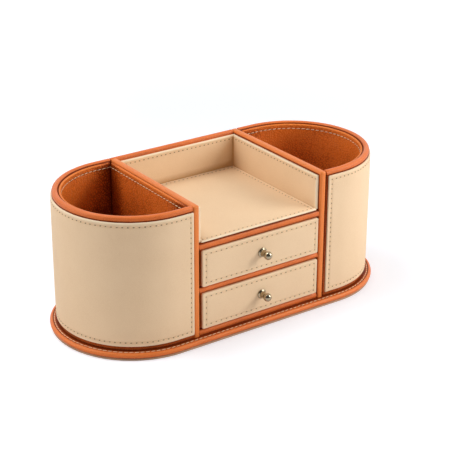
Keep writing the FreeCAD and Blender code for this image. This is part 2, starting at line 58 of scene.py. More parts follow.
BASE_LOW, BASE_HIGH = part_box("base_plate")
WALL_LOW, WALL_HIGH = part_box("right_end_wall")
PANEL_LOW, PANEL_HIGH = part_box("right_outer_panel")
LINER_LOW, LINER_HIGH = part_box("right_cup_curved_liner")
FLAT_LOW, FLAT_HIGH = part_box("right_cup_flat_liner")
BACK_LOW, BACK_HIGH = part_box("back_outer_panel")
BASE_RADIUS = BASE_HIGH.y
END_CENTRE = BASE_HIGH.x - BASE_RADIUS         # centre of each end's half circle, along X
RIM_RADIUS = WALL_HIGH.y
RIM_TOP = WALL_HIGH.z
RIM_FOOT = PANEL_HIGH.z + 0.4 * MM             # where the rim's roll meets the set-in wall
CORE_RADIUS = BACK_LOW.y
HOLLOW_RADIUS = LINER_HIGH.y
LINER_RADIUS = HOLLOW_RADIUS - (FLAT_HIGH.x - FLAT_LOW.x)
RIM_ROLL = (RIM_RADIUS - HOLLOW_RADIUS - 0.3 * MM) / 2
DRAWERS = ("upper_drawer", "lower_drawer")
FOOT_ROLL = 1.1 * MM
GROOVE_RADIUS = CORE_RADIUS - 0.5 * MM         # the bottom of the seam under the rim
RIM_SEAM = [(CORE_RADIUS, PANEL_HIGH.z), (GROOVE_RADIUS, PANEL_HIGH.z + 0.3 * MM),
            (GROOVE_RADIUS, RIM_FOOT + 0.1 * MM), (RIM_RADIUS, RIM_FOOT + 0.9 * MM)]
LINER_ROW = 3.8 * MM                           # from the top of a cup lining to its stitches
SIDE_ROW, TOP_ROW, TRAY_ROW = 3.2 * MM, 3.4 * MM, 3.0 * MM      # from a pad's edge to its row
PAD_ROLL = 0.7 * MM                            # radius of a pad's rolled edge
EDGE_LINES = (0.08, 0.2, 0.4, 0.7, 1.0, 1.5, 2.2)               # a pad's grid in mm from an edge
ROW_LINES = (-1.0, -0.6, -0.3, 0.0, 0.3, 0.6, 1.0, 1.6, 2.6)    # and in mm about a row
ARC_STEPS = 44
UP = Vector((0, 0, 1))
DARKEST = -1.1                                 # darkest painted shade; 0 is the leather's own colour, 1 its palest painted highlight
FAR = 20 * MM                                  # stands for a row or an edge that isn't there

# Camera: width, focal length and optical centre in pixels, turn and rise in degrees, metres
SHOT_WIDTH, SHOT_FOCAL, SHOT_CENTRE = 474, 1385.5, (216.1, 228.0)
SHOT_TURN, SHOT_RISE, SHOT_AIM, SHOT_DISTANCE = -34.65, 23.95, 0.060, 1.1152
SENSOR = 36.0


# ---- Settings ----

def colour_setting(name, what, default):
    return bpy.props.FloatVectorProperty(name=name, description=what, default=default, size=3,
                                         min=0, max=1, subtype="COLOR")


def length_setting(name, what, default):
    return bpy.props.FloatProperty(name=name, description=what, default=default, min=0,
                                   precision=5, subtype="DISTANCE", unit="LENGTH")


def level_setting(name, what, default):
    return bpy.props.FloatProperty(name=name, description=what, default=default, min=0)


class OrganizerColours(bpy.types.PropertyGroup):
    """Colours of the leathers, cloths, thread and metal."""
    tan: colour_setting("Tan", "Leather wrapped over the boards and the rim", (0.75, 0.166, 0.033))
    cup: colour_setting("Cup", "Leather that lines the cups", (0.80, 0.178, 0.021))
    cream: colour_setting("Cream", "Leather of the panels, tray and drawers", (0.87, 0.63, 0.400))
    suede: colour_setting("Suede", "Short-pile cloth in the cups and drawers", (0.62, 0.47, 0.31))
    non_slip: colour_setting("Non-slip", "Sheet under the base", (0.52, 0.32, 0.20))
    plating: colour_setting("Plating", "Pale gold plating of the knobs", (0.43, 0.36, 0.25))
    steel: colour_setting("Steel", "Plated screws", (0.60, 0.60, 0.62))
    thread: colour_setting("Thread", "Waxed sewing thread", (0.95, 0.68, 0.42))
    needle_hole: colour_setting("Needle hole", "Shade inside a needle hole", (0.26, 0.17, 0.10))


class OrganizerSizes(bpy.types.PropertyGroup):
    """Sizes of the stitching and the padding."""
    pitch: length_setting("Stitch pitch", "From one stitch to the next", 4.1 * MM)
    drawer_pitch: length_setting("Drawer pitch", "From one stitch to the next on a drawer", 4.7 * MM)
    stitch: length_setting("Stitch length", "Length of thread seen in a stitch", 2.9 * MM)
    thread: length_setting("Thread width", "Width of the thread", 0.55 * MM)
    hole: length_setting("Needle hole", "Radius of a needle hole", 0.42 * MM)
    groove: length_setting("Groove", "How deep a row of stitches pulls the leather in", 0.22 * MM)
    groove_width: length_setting("Groove width", "Width of the dip along a row", 0.8 * MM)
    puff: length_setting("Puff", "How far a panel swells inside its stitching", 0.25 * MM)
    grain: length_setting("Grain", "Size of the leather's pebbles", 1.1 * MM)
    relief: length_setting("Relief", "Height of the leather's pebbles", 0.07 * MM)


class OrganizerStage(bpy.types.PropertyGroup):
    """Light levels of the studio."""
    key: level_setting("Key", "Power of the key softbox, in watts", 5.7)
    fill: level_setting("Fill", "Power of the fill softbox, in watts", 3.8)
    top: level_setting("Top", "Power of the overhead softbox, in watts", 5.3)
    sky: level_setting("Sky", "Strength of the even light all round", 0.34)


# ---- Materials ----

def feed(tree, made, inputs):
    """Fill in a node's inputs; a node given as a value stands for its first output."""
    for key, value in inputs.items():
        if isinstance(value, bpy.types.Node):
            value = value.outputs[0]
        if isinstance(value, bpy.types.NodeSocket):
            tree.links.new(value, made.inputs[key])
        else:
            made.inputs[key].default_value = value
    return made


def node(tree, kind, inputs=None, **settings):
    made = tree.nodes.new(kind)
    for name, value in settings.items():
        setattr(made, name, value)
    return feed(tree, made, inputs or {})


def math_node(tree, operation, first, second=0.0, third=0.0):
    return node(tree, "ShaderNodeMath", {0: first, 1: second, 2: third}, operation=operation)


def vector_node(tree, operation, first, second=(0.0, 0.0, 0.0), output="Vector"):
    return node(tree, "ShaderNodeVectorMath", {0: first, 1: second},
                operation=operation).outputs[output]


def shifted(tree, shade, socket, amount, middle=0.5):
    """A shade moved by how far a socket is from its middle."""
    gap = math_node(tree, "SUBTRACT", socket, middle)
    return math_node(tree, "MULTIPLY_ADD", gap, amount, shade)


def mapped(tree, value, start, end, low, high, kind="SMOOTHSTEP"):
    return node(tree, "ShaderNodeMapRange", {"Value": value, 1: start, 2: end, 3: low, 4: high},
                interpolation_type=kind)


def noise(tree, place, scale, detail=2.0, roughness=0.5, output="Fac"):
    return node(tree, "ShaderNodeTexNoise", {"Vector": place, "Scale": scale, "Detail": detail,
                                             "Roughness": roughness}).outputs[output]


def emptied(owner):
    """The node tree of a material or a world, with nothing in it."""
    owner.use_nodes = True
    owner.node_tree.nodes.clear()
    return owner.node_tree


def new_material(name):
    """The tree of a new material, its shader, and the place on the object."""
    tree = emptied(bpy.data.materials.new(name))
    shader = node(tree, "ShaderNodeBsdfPrincipled")
    node(tree, "ShaderNodeOutputMaterial", {"Surface": shader})
    return tree, shader, node(tree, "ShaderNodeTexCoord").outputs["Object"]


def three_tones(tree, factor, deep, middle, light):
    """Colour that runs from deep, through middle at a half, to light."""
    ramp = node(tree, "ShaderNodeValToRGB", {"Fac": factor})
    stops = ramp.color_ramp.elements
    stops[0].position, stops[0].color = 0.0, (*deep, 1)
    stops[1].position, stops[1].color = 1.0, (*light, 1)
    stops.new(0.5).color = (*middle, 1)
    return ramp


def coat(tree, shader, shade, colour, darker, paler, rough, strength, depth, height):
    """Give a shader its three tones, darker and paler by a share, its roughness and its bump."""
    deep = tuple(part * darker for part in colour)
    light = tuple(min(1.0, part * paler) for part in colour)
    feed(tree, shader, {
        "Base Color": three_tones(tree, shade, deep, colour, light), "Roughness": rough,
        "Normal": node(tree, "ShaderNodeBump",
                       {"Strength": strength, "Distance": depth, "Height": height})})


def leather(name, colour, grain, relief, rough, mottle, deep, lighten, glint):
    """Grained leather: pebbles and soft unevenness, paler rolled edges and darker seams; the paler
    edges are painted highlights and the darker seams painted shade.
    """
    tree, shader, place = new_material(name)
    drift = noise(tree, place, 0.22 / grain, output="Color")
    drift = vector_node(tree, "SUBTRACT", drift, (0.5, 0.5, 0.5))
    drift = vector_node(tree, "MULTIPLY", drift, (1.6 * grain,) * 3)
    bent = vector_node(tree, "ADD", place, drift)
    cells = node(tree, "ShaderNodeTexVoronoi", {"Vector": bent, "Scale": 1 / grain},
                 feature="DISTANCE_TO_EDGE")
    pebbles = mapped(tree, cells.outputs["Distance"], 0.0, 0.28, 0.0, 1.0)
    pores = noise(tree, place, 3.6 / grain, 3.0)
    cloud = noise(tree, place, 34.0, 3.0, 0.55)
    swell = noise(tree, place, 75.0, 1.0)
    tone = node(tree, "ShaderNodeAttribute", attribute_name="tone").outputs["Fac"]

    # painted light and shade from each vertex, with the leather's random mottle laid over it
    shade = math_node(tree, "MULTIPLY_ADD", tone, 0.5, 0.5)
    shade = shifted(tree, shade, cloud, mottle * 2)
    shade = shifted(tree, shade, pebbles, mottle, 0.6)
    shade = shifted(tree, shade, pores, mottle)
    # the ramp runs from the colour of painted shade to that of a painted highlight; the mottle also
    # moves within it
    darker = tuple(part * keep for part, keep in zip(colour, deep))
    paler = tuple(part + (1 - part) * lighten * part for part in colour)

    gloss = math_node(tree, "MULTIPLY_ADD", pores, 0.16, rough - 0.12)
    gloss = math_node(tree, "MULTIPLY_ADD", pebbles, -0.06, gloss)
    gloss = math_node(tree, "MULTIPLY_ADD", cloud, 0.10, gloss)

    height = math_node(tree, "MULTIPLY_ADD", pores, 0.35, pebbles)
    fine = node(tree, "ShaderNodeBump", {"Strength": 1.0, "Distance": relief, "Height": height})
    broad = node(tree, "ShaderNodeBump",
                 {"Strength": 1.0, "Distance": 0.25 * MM, "Height": swell, "Normal": fine})
    # the specular level drops where shade is painted, so painted shade also loses its shine
    feed(tree, shader, {
        "Base Color": three_tones(tree, shade, darker, colour, paler), "Roughness": gloss,
        "Normal": broad, "Specular IOR Level": mapped(tree, tone, -1.0, -0.2, 0.08, 0.40, "LINEAR"),
        "Specular Tint": (*glint, 1)})


def suede(name, colour, sheen):
    """Short pile: brushed patches over a fine nap."""
    tree, shader, place = new_material(name)
    nap = noise(tree, place, 2600.0, 2.0, 0.7)
    brushed = noise(tree, place, 42.0, 4.0, 0.6)
    shade = shifted(tree, shifted(tree, 0.5, nap, 0.7), brushed, 0.9)
    rough = math_node(tree, "MULTIPLY_ADD", brushed, 0.12, 0.84)
    coat(tree, shader, shade, colour, 0.62, 1.28, rough, 0.9, 0.08 * MM, nap)
    feed(tree, shader, {"Specular IOR Level": 0.15, "Sheen Weight": sheen, "Sheen Roughness": 0.5})


def metal(name, colour, rough, streak):
    """Plated metal with faint turning marks and a little wear in its gloss."""
    tree, shader, place = new_material(name)
    marks = node(tree, "ShaderNodeMapping", {"Vector": place, "Scale": (1.0, 6.0, 1.0)})
    lines = noise(tree, marks, 900.0)
    cloud = noise(tree, place, 260.0)
    gloss = math_node(tree, "MULTIPLY_ADD", cloud, 0.10, rough - 0.03)
    coat(tree, shader, shifted(tree, 0.5, cloud, 0.8), colour, 0.86, 1.08, gloss, streak,
         0.01 * MM, lines)
    feed(tree, shader, {"Metallic": 1.0})


def waxed_thread(name, colour):
    """Twisted thread with a waxy gloss."""
    tree, shader, place = new_material(name)
    twist = node(tree, "ShaderNodeTexWave",
                 {"Vector": place, "Scale": 520.0, "Distortion": 1.5, "Detail": 1.0},
                 bands_direction="DIAGONAL").outputs["Fac"]
    fuzz = noise(tree, place, 900.0)
    shade = shifted(tree, math_node(tree, "MULTIPLY_ADD", twist, 0.35, 0.32), fuzz, 0.5)
    rough = math_node(tree, "MULTIPLY_ADD", fuzz, 0.2, 0.55)
    coat(tree, shader, shade, colour, 0.62, 1.2, rough, 0.8, 0.06 * MM, twist)
    feed(tree, shader, {"Specular IOR Level": 0.2})


def needle_hole(name, colour):
    """Painted shade where the thread goes down into the leather."""
    tree, shader, place = new_material(name)
    cloud = noise(tree, place, 700.0)
    rough = math_node(tree, "MULTIPLY_ADD", cloud, 0.2, 0.7)
    coat(tree, shader, cloud, colour, 0.5, 1.6, rough, 0.5, 0.05 * MM, cloud)


def finish_of(slot):
    """The material for a slot, made when it is first asked for."""
    colours = bpy.context.scene.organizer_colours
    sizes = bpy.context.scene.organizer_sizes
    grain, relief = sizes.grain, sizes.relief
    # leather values: grain, relief, roughness, mottle, the share of colour left in painted shade, how
    # much paler a painted highlight is, and the tint of the shine
    name, make, colour, values = {
        "tan_leather": ("tan_wrap", leather, colours.tan,
                        (grain, relief, 0.37, 0.18, (0.27, 0.18, 0.12), 0.5, (1.0, 0.76, 0.61))),
        "cup_leather": ("cup_lining", leather, colours.cup,
                        (1.8 * grain, 2.7 * relief, 0.46, 0.31, (0.31, 0.20, 0.15), 0.30,
                         (1.0, 0.78, 0.62))),
        "cream_leather": ("cream_panel", leather, colours.cream,
                          (0.8 * grain, 0.6 * relief, 0.58, 0.065, (0.66, 0.52, 0.37), 0.7,
                           (1.0, 0.86, 0.72))),
        "suede": ("pile_cloth", suede, colours.suede, (0.3,)),
        "non_slip": ("non_slip_cloth", suede, colours.non_slip, (0.1,)),
        "knob_metal": ("pale_gold_plating", metal, colours.plating, (0.13, 0.25)),
        "screw_steel": ("screw_plating", metal, colours.steel, (0.3, 0.6)),
        "thread": ("waxed_thread", waxed_thread, colours.thread, ()),
        "needle_hole": ("needle_hole", needle_hole, colours.needle_hole, ()),
    }[slot]
    if name not in bpy.data.materials:
        make(name, tuple(colour), *values)
    return bpy.data.materials[name]


# ---- Shapes ----

def spread(low, high, steps):
    """Numbers from low to high in even steps."""
    return [low + (high - low) * step / steps for step in range(steps + 1)]


def near(distance, reach):
    """1 at a place itself, falling to 0 a little past its reach."""
    return math.exp(-(distance / reach) ** 2)


def quarter(radius, steps):
    """A quarter turn as (move, pull) pairs, from (0, radius) to (radius, 0)."""
    turns = [math.pi / 2 * (1 - step / steps) for step in range(steps + 1)]
    return [(radius * (1 - math.sin(turn)), radius * (1 - math.cos(turn))) for turn in turns]


def new_object(name, data):
    made = bpy.data.objects.new(name, data)
    bpy.context.scene.collection.objects.link(made)
    return made


def make_piece(shape, name, body, slot, *nodes, crease=40.0):
    """Close a shape into a piece that stands for its nodes and rides on its body."""
    bmesh.ops.remove_doubles(shape, verts=shape.verts, dist=1e-7)
    bmesh.ops.recalc_face_normals(shape, faces=shape.faces)
    for edge in shape.edges:
        edge.smooth = edge.calc_face_angle(0.0) < math.radians(crease)
    for face in shape.faces:
        face.smooth = True
    mesh = bpy.data.meshes.new(name)
    shape.to_mesh(mesh)
    shape.free()
    mesh.materials.append(finish_of(slot))
    piece = new_object(name, mesh)
    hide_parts(*nodes)
    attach(piece, body)
    return piece


def toned_shape():
    """An empty shape, and the layer that holds the light and shade painted on its leather."""
    shape = bmesh.new()
    return shape, shape.verts.layers.float.new("tone")


def skin(shape, rows, closed=False):
    """Faces between neighbouring rows of vertices, all the way round if the rows are closed."""
    for first, second in zip(rows, rows[1:]):
        for place in range(len(first) - (not closed)):
            after = (place + 1) % len(first)
            shape.faces.new((first[place], first[after], second[after], second[place]))


def loft(loops, tones=None):
    """Skin over matching closed loops, capped at the first and the last."""
    shape, tone = toned_shape()
    rows = []
    for index, loop in enumerate(loops):
        rows.append([shape.verts.new(point) for point in loop])
        for vert, shade in zip(rows[-1], tones[index] if tones else ()):
            vert[tone] = shade
    shape.faces.new(rows[0])
    shape.faces.new(rows[-1])
    skin(shape, rows, True)
    return shape


def rounded(corners, steps=6):
    """Closed outline from corners of (across, up, radius)."""
    outline = []
    for index, (across, up, radius) in enumerate(corners):
        here = Vector((across, up))
        if not radius:
            outline.append(here)
            continue
        before = (Vector(corners[index - 1][:2]) - here).normalized()
        after = (Vector(corners[(index + 1) % len(corners)][:2]) - here).normalized()
        half = before.angle(after) / 2
        centre = here + (before + after).normalized() * radius / math.sin(half)
        start = here + before * radius / math.tan(half) - centre
        end = here + after * radius / math.tan(half) - centre
        first = math.atan2(start.y, start.x)
        turn = (math.atan2(end.y, end.x) - first + math.pi) % (2 * math.pi) - math.pi
        for step in range(steps + 1):
            angle = first + turn * step / steps
            outline.append(centre + radius * Vector((math.cos(angle), math.sin(angle))))
    return outline


def outline_normals(outline):
    """Outward normals of a closed outline, for pulling it in a little."""
    area = sum(a.x * b.y - b.x * a.y for a, b in zip(outline, outline[1:] + outline[:1]))
    side = 1 if area > 0 else -1
    normals = []
    for index, point in enumerate(outline):
        along = outline[(index + 1) % len(outline)] - outline[index - 1]
        normals.append(Vector((along.y, -along.x)).normalized() * side)
    return normals


def end_path(side, start, steps=ARC_STEPS):
    """Stations (origin, outward) round one end: front straight, half circle, back straight."""
    stations = [(start, 0.0, -1.0), (END_CENTRE, 0.0, -1.0)]
    for step in range(1, steps):
        angle = math.pi * (step / steps - 0.5)
        stations.append((END_CENTRE, math.cos(angle), math.sin(angle)))
    stations += [(END_CENTRE, 0.0, 1.0), (start, 0.0, 1.0)]
    return [(Vector((side * x, 0, 0)), Vector((side * out_x, out_y, 0)))
            for x, out_x, out_y in stations]


def soften_ends(stations, radius):
    """Stations of (origin, outward, pull-in) that round a swept piece at both its ends."""
    path = [(origin, outward, 0.0) for origin, outward in stations]
    caps = []
    for end, beside in ((0, 1), (-1, -2)):
        origin, outward = stations[end]
        way = (stations[beside][0] - origin).normalized()
        caps.append([(origin + way * move, outward, pull) for move, pull in quarter(radius, 4)])
    return caps[0] + path[1:-1] + caps[1][::-1]


def sweep(outline, stations, tones, soften):
    """Sweep an outline of (outward, up) along stations; painted shade grows toward its rounded ends.
    """
    normals = outline_normals(outline)
    loops, shades = [], []
    for origin, outward, pull in soften_ends(stations, soften):
        points = [point - normal * pull for point, normal in zip(outline, normals)]
        loops.append([origin + outward * point.x + UP * point.y for point in points])
        keep = 1 - pull / soften
        # painted shade toward the rounded ends
        shades.append([tone * keep - (1 - keep) for tone in tones])
    return loft(loops, shades)


def darken_corners(shape, corners, reach, amount):
    """Paint shade onto leather toward upright corners, given as (x, y)."""
    tone = shape.verts.layers.float["tone"]
    for vert in shape.verts:
        gap = min(math.hypot(vert.co.x - x, vert.co.y - y) for x, y in corners)
        vert[tone] = max(vert[tone] - amount * near(gap, reach), DARKEST)


def stadium_loop(radius, z, steps=ARC_STEPS):
    loop = []
    for side, turn in ((1, -0.5), (-1, 0.5)):
        for step in range(steps + 1):
            angle = math.pi * (step / steps + turn)
            loop.append(Vector((side * END_CENTRE + radius * math.cos(angle),
                                radius * math.sin(angle), z)))
    return loop


def board(source, edges, radius, slot, body):
    """A wrapped board that fills its node's box and is rolled over some of its edges.

    An edge is two sides, such as "x- z+".
    """
    low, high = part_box(source)
    shape = bmesh.new()
    bmesh.ops.create_cube(shape, size=1.0)
    for vert in shape.verts:
        for axis in range(3):
            vert.co[axis] = high[axis] if vert.co[axis] > 0 else low[axis]
    faces = {}
    for face in shape.faces:
        face.normal_update()
        axis = max(range(3), key=lambda item: abs(face.normal[item]))
        faces["xyz"[axis] + ("+" if face.normal[axis] > 0 else "-")] = face
    rolled = []
    for pair in edges:
        first, second = pair.split()
        rolled += [edge for edge in faces[first].edges if edge in faces[second].edges]
    bmesh.ops.bevel(shape, geom=rolled, offset=radius, segments=6, profile=0.5, affect="EDGES")
    make_piece(shape, source + "_wrap", body, slot, source, crease=50.0)


class Pad:
    """A leather pad on a flat or curved bed: rolled edges, rows of stitches and a swollen middle.

    bed(u, v, h) gives the point at u along, v up and h out. rows, rolls and reach go left, right,
    bottom, top; a row of None has no stitches, and reach is where a neighbour covers the pad.
    dim is the (u, v) of a corner darkened with painted shade, and pale scales the painted highlight
    along its rolled edges.
    """
    SWELL = 6 * MM          # how far inside its rows a pad comes to its full height
    LEAST = 0.3             # share of its thickness that is left along a rolled edge
    MARGIN = 4 * MM         # past the rows, before the grid's even cells begin
    CLOSEST = 0.05 * MM     # two lines of the grid
    GUIDE = 1.5 * MM        # from one guide point of a row to the next
    PALE, DIP, SEAM, SHADE, DIM = 1.1 * MM, 0.7 * MM, 1.1 * MM, 9 * MM, 11 * MM  # reaches of the painted highlight and shade

    def __init__(self, name, body, source, size, thick, bed, rows, rolls, corner=0.6 * MM,
                 back_roll=0.2 * MM, puff=1.0, pale=1.0, cell=5 * MM, fill=None, reach=None, dim=None):
        self.name, self.body, self.source = name, body, source
        self.width, self.height = size
        self.thick, self.bed, self.rows, self.rolls = thick, bed, rows, rolls
        self.corner, self.back_roll, self.puff, self.cell = corner, back_roll, puff, cell
        self.pale, self.fill, self.dim = pale, fill, dim
        self.reach = reach or (0.0, self.width, 0.0, self.height)

    def edge_distances(self, u, v):
        return u, self.width - u, v, self.height - v

    def inside(self, u, v):
        """How far inside its rectangle of stitches a point is."""
        return min([distance - row for distance, row in zip(self.edge_distances(u, v), self.rows)
                    if row is not None], default=FAR)

    def rise(self, u, v):
        sizes = bpy.context.scene.organizer_sizes
        inside = self.inside(u, v)
        rise = self.thick
        rise += sizes.puff * self.puff * (1 - math.exp(-max(inside, 0.0) / self.SWELL))
        rise -= sizes.groove * near(inside, sizes.groove_width)
        drop = 0.0
        for distance, roll in zip(self.edge_distances(u, v), self.rolls):
            if distance < roll:
                drop = max(drop, roll - math.sqrt(max(roll ** 2 - (roll - distance) ** 2, 0.0)))
        on_edge = min(self.edge_distances(u, v)) <= 0
        return max(rise - drop, self.thick - max(self.rolls) if on_edge else self.LEAST * self.thick)

    def tone(self, u, v):
        """Painted light: paler along the rolled edges as a painted highlight, and painted shade in the
        stitched dip, in the seams and toward a dim corner.
        """
        ends = (u - self.reach[0], self.reach[1] - u, v - self.reach[2], self.height - v)
        edge = min([distance for distance, roll in zip(self.edge_distances(u, v), self.rolls)
                    if roll], default=FAR)
        seam = min([abs(distance) for distance, roll in zip(ends, self.rolls) if not roll],
                   default=FAR)
        row = self.inside(u, v)
        dim = math.dist(self.dim, (u, v)) if self.dim else 1.0
        return (self.pale * near(edge, self.PALE) - 0.28 * near(row, self.DIP)
                - near(seam, self.SEAM) - 0.19 * math.exp(-seam / self.SHADE)
                - 0.8 * math.exp(-dim / self.DIM))

    def lines(self, length, low, high):
        """Places of the grid's lines: close together at the edges and the rows."""
        places = {0.0, length}
        for row, mirror in ((low, False), (high, True)):
            steps = list(EDGE_LINES)
            if row is not None:
                steps += [row / MM + step for step in ROW_LINES]
            places.update(length - step * MM if mirror else step * MM for step in steps)
        edge = max(low or 0, high or 0) + self.MARGIN
        count = max(1, round((length - 2 * edge) / self.cell))
        places.update(spread(edge, length - edge, count))
        ordered = []
        for place in sorted(places):
            if not ordered or place - ordered[-1] > self.CLOSEST:
                ordered.append(place)
        ordered[-1] = length
        return ordered

    def point(self, u, v, rise, inset=0.0):
        """A place on the bed, turned in at the pad's rounded corners."""
        size = self.corner
        left, right, bottom, top = self.edge_distances(u, v)
        across, up = size - min(left, right), size - min(bottom, top)
        if size and across > 0 and up > 0:
            keep = max(across, up) / math.hypot(across, up)
            new_across, new_up = size - across * keep, size - up * keep
            u = new_across if left < right else self.width - new_across
            v = new_up if bottom < top else self.height - new_up
        return self.bed(min(max(u, inset), self.width - inset),
                        min(max(v, inset), self.height - inset), rise)

    def build(self):
        shape, tone = toned_shape()
        us = self.lines(self.width, self.rows[0], self.rows[1])
        vs = self.lines(self.height, self.rows[2], self.rows[3])
        spots = [[(u, v) for u in us] for v in vs]
        front = [[shape.verts.new(self.point(u, v, self.rise(u, v))) for u, v in row]
                 for row in spots]
        for row, places in zip(front, spots):
            for vert, (u, v) in zip(row, places):
                vert[tone] = self.tone(u, v)
        back = [[shape.verts.new(self.point(u, v, 0.0, self.back_roll)) for u, v in row]
                for row in spots]
        skin(shape, front)
        skin(shape, back)

        def border(grid):
            return (grid[0][:-1] + [row[-1] for row in grid[:-1]] + grid[-1][:0:-1]
                    + [row[0] for row in grid[:0:-1]])

        bands = [border(front)]
        for inset, rise in quarter(self.back_roll, 3)[:-1]:
            bands.append([shape.verts.new(self.point(u, v, rise, inset)) for u, v in border(spots)])
        skin(shape, bands + [border(back)], True)
        piece = make_piece(shape, self.name, self.body, "cream_leather", self.source, crease=60.0)

    def stitch_rows(self):
        """Rows as lists of (point, outward), each half a pitch short of its corners."""
        half = bpy.context.scene.organizer_sizes.pitch / 2
        left, right, bottom, top = self.rows
        low_u = self.reach[0] if left is None else left
        high_u = self.reach[1] if right is None else self.width - right
        low_v = self.reach[2] if bottom is None else bottom
        high_v = self.reach[3] if top is None else self.height - top
        corners = [Vector(place) for place in ((low_u, low_v), (high_u, low_v), (high_u, high_v),
                                               (low_u, high_v))]
        rows = []
        for row, start, end in zip((bottom, right, top, left), corners, corners[1:] + corners[:1]):
            if row is None:
                continue
            length = (end - start).length
            way = (end - start) / length
            count = max(2, math.ceil((length - 2 * half) / self.GUIDE))
            rows.append([])
            for step in range(count + 1):
                u, v = start + way * (half + (length - 2 * half) * step / count)
                rise = self.rise(u, v)
                point = self.bed(u, v, rise)
                rows[-1].append((point, (self.bed(u, v, rise + MM) - point).normalized()))
        return rows


def flat_pad(source, name, body, ways, rows, rolls, thinner=0.0, **more):
    """A pad that fills its node's box; ways are its along, up and out, such as "x+ z+ y-"."""
    low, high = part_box(source)
    origin = Vector(low)
    axes, spans = [], []
    for axis, sign in ways.split():
        place = "xyz".index(axis)
        axes.append(Vector())
        axes[-1][place] = 1 if sign == "+" else -1
        spans.append(high[place] - low[place])
        if sign == "-":
            origin[place] = high[place]

    def bed(u, v, h):
        return origin + axes[0] * u + axes[1] * v + axes[2] * h
    return Pad(name, body, source, spans[:2], spans[2] - thinner, bed, rows, rolls, **more)


def end_bed(side, start, radius, z):
    """Bed round the outside of one end, from x = start in front to the back straight."""
    straight = END_CENTRE - start
    arc = math.pi * radius

    def bed(u, v, h):
        if u < straight:
            x, y = start + u, -(radius + h)
        elif u < straight + arc:
            angle = (u - straight) / radius - math.pi / 2
            x, y = END_CENTRE + (radius + h) * math.cos(angle), (radius + h) * math.sin(angle)
        else:
            x, y = END_CENTRE - (u - straight - arc), radius + h
        return Vector((side * x, y, z + v))
    return bed


# ---- The organizer's pads ----

def outer_pads():
    """Panels round the ends and on the back."""
    height = PANEL_HIGH.z - PANEL_LOW.z
    rows = (SIDE_ROW, SIDE_ROW, TOP_ROW, TOP_ROW)
    rolls = (PAD_ROLL,) * 4
    pads = []
    # pale: a weaker painted highlight on the right panel's edges, where the key light already falls
    for side, word, gap, pale in ((1, "right", 1.1 * MM, 0.4), (-1, "left", -0.65 * MM, 1.0)):
        start = PANEL_LOW.x + gap
        width = 2 * END_CENTRE - start - PANEL_LOW.x + math.pi * CORE_RADIUS
        first = 2.8 * MM if side < 0 else SIDE_ROW
        pads.append(Pad(word + "_panel_leather", "organizer", word + "_outer_panel",
                        (width, height), PANEL_HIGH.y - CORE_RADIUS,
                        end_bed(side, start, CORE_RADIUS, PANEL_LOW.z), (first, *rows[1:]), rolls,
                        cell=2.8 * MM, back_roll=0.1 * MM, pale=pale))
    pads.append(flat_pad("back_outer_panel", "back_panel_leather", "organizer", "x- z+ y+", rows,
                         rolls, back_roll=0.1 * MM))
    return pads


def tray_pads():
    """Linings and floor pad of the memo tray."""
    low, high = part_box("tray_back_lining")
    side_low, side_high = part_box("tray_right_lining")
    floor_low, floor_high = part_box("tray_floor_pad")
    floor = floor_high.z - low.z
    # reach also sets the seams darkened with painted shade, and dim the tray's back right corner
    # darkened with painted shade
    rows = (None, None, None, TRAY_ROW)
    reach = (high.x - side_low.x, high.x + side_low.x, floor, 0.0)
    pads = [flat_pad("tray_back_lining", "tray_back_leather", "organizer", "x+ z+ y-", rows,
                     (0.0, 0.0, 0.0, PAD_ROLL), corner=0.0, back_roll=0.6 * MM, puff=0.0,
                     reach=reach, dim=(reach[1], floor))]
    depth = side_high.y - side_low.y
    for word, way, dim in (("right", "x-", (depth, floor)), ("left", "x+", None)):
        pads.append(flat_pad(f"tray_{word}_lining", f"tray_{word}_leather", "organizer",
                             "y+ z+ " + way, rows, (PAD_ROLL, 0.0, 0.0, PAD_ROLL),
                             corner=0.8 * MM, back_roll=0.6 * MM, puff=0.0,
                             reach=(1.5 * MM, depth, 0.0, 0.0), dim=dim))
    pads.append(flat_pad("tray_floor_pad", "tray_floor_leather", "organizer", "x+ y+ z+",
                         (TRAY_ROW,) * 4, (0.6 * MM,) * 4, 0.15 * MM, corner=0.5 * MM, puff=0.5,
                         fill=0.9, dim=(floor_high.x - floor_low.x, floor_high.y - floor_low.y)))
    return pads


def drawer_pads():
    """Padded faces of the drawers."""
    return [flat_pad(drawer + "_face", drawer + "_face_leather", drawer, "x+ z+ y-",
                     (SIDE_ROW,) * 4, (PAD_ROLL,) * 4, corner=1.2 * MM, puff=0.8, pale=0.25,
                     fill=0.9) for drawer in DRAWERS]


# ---- Operators ----

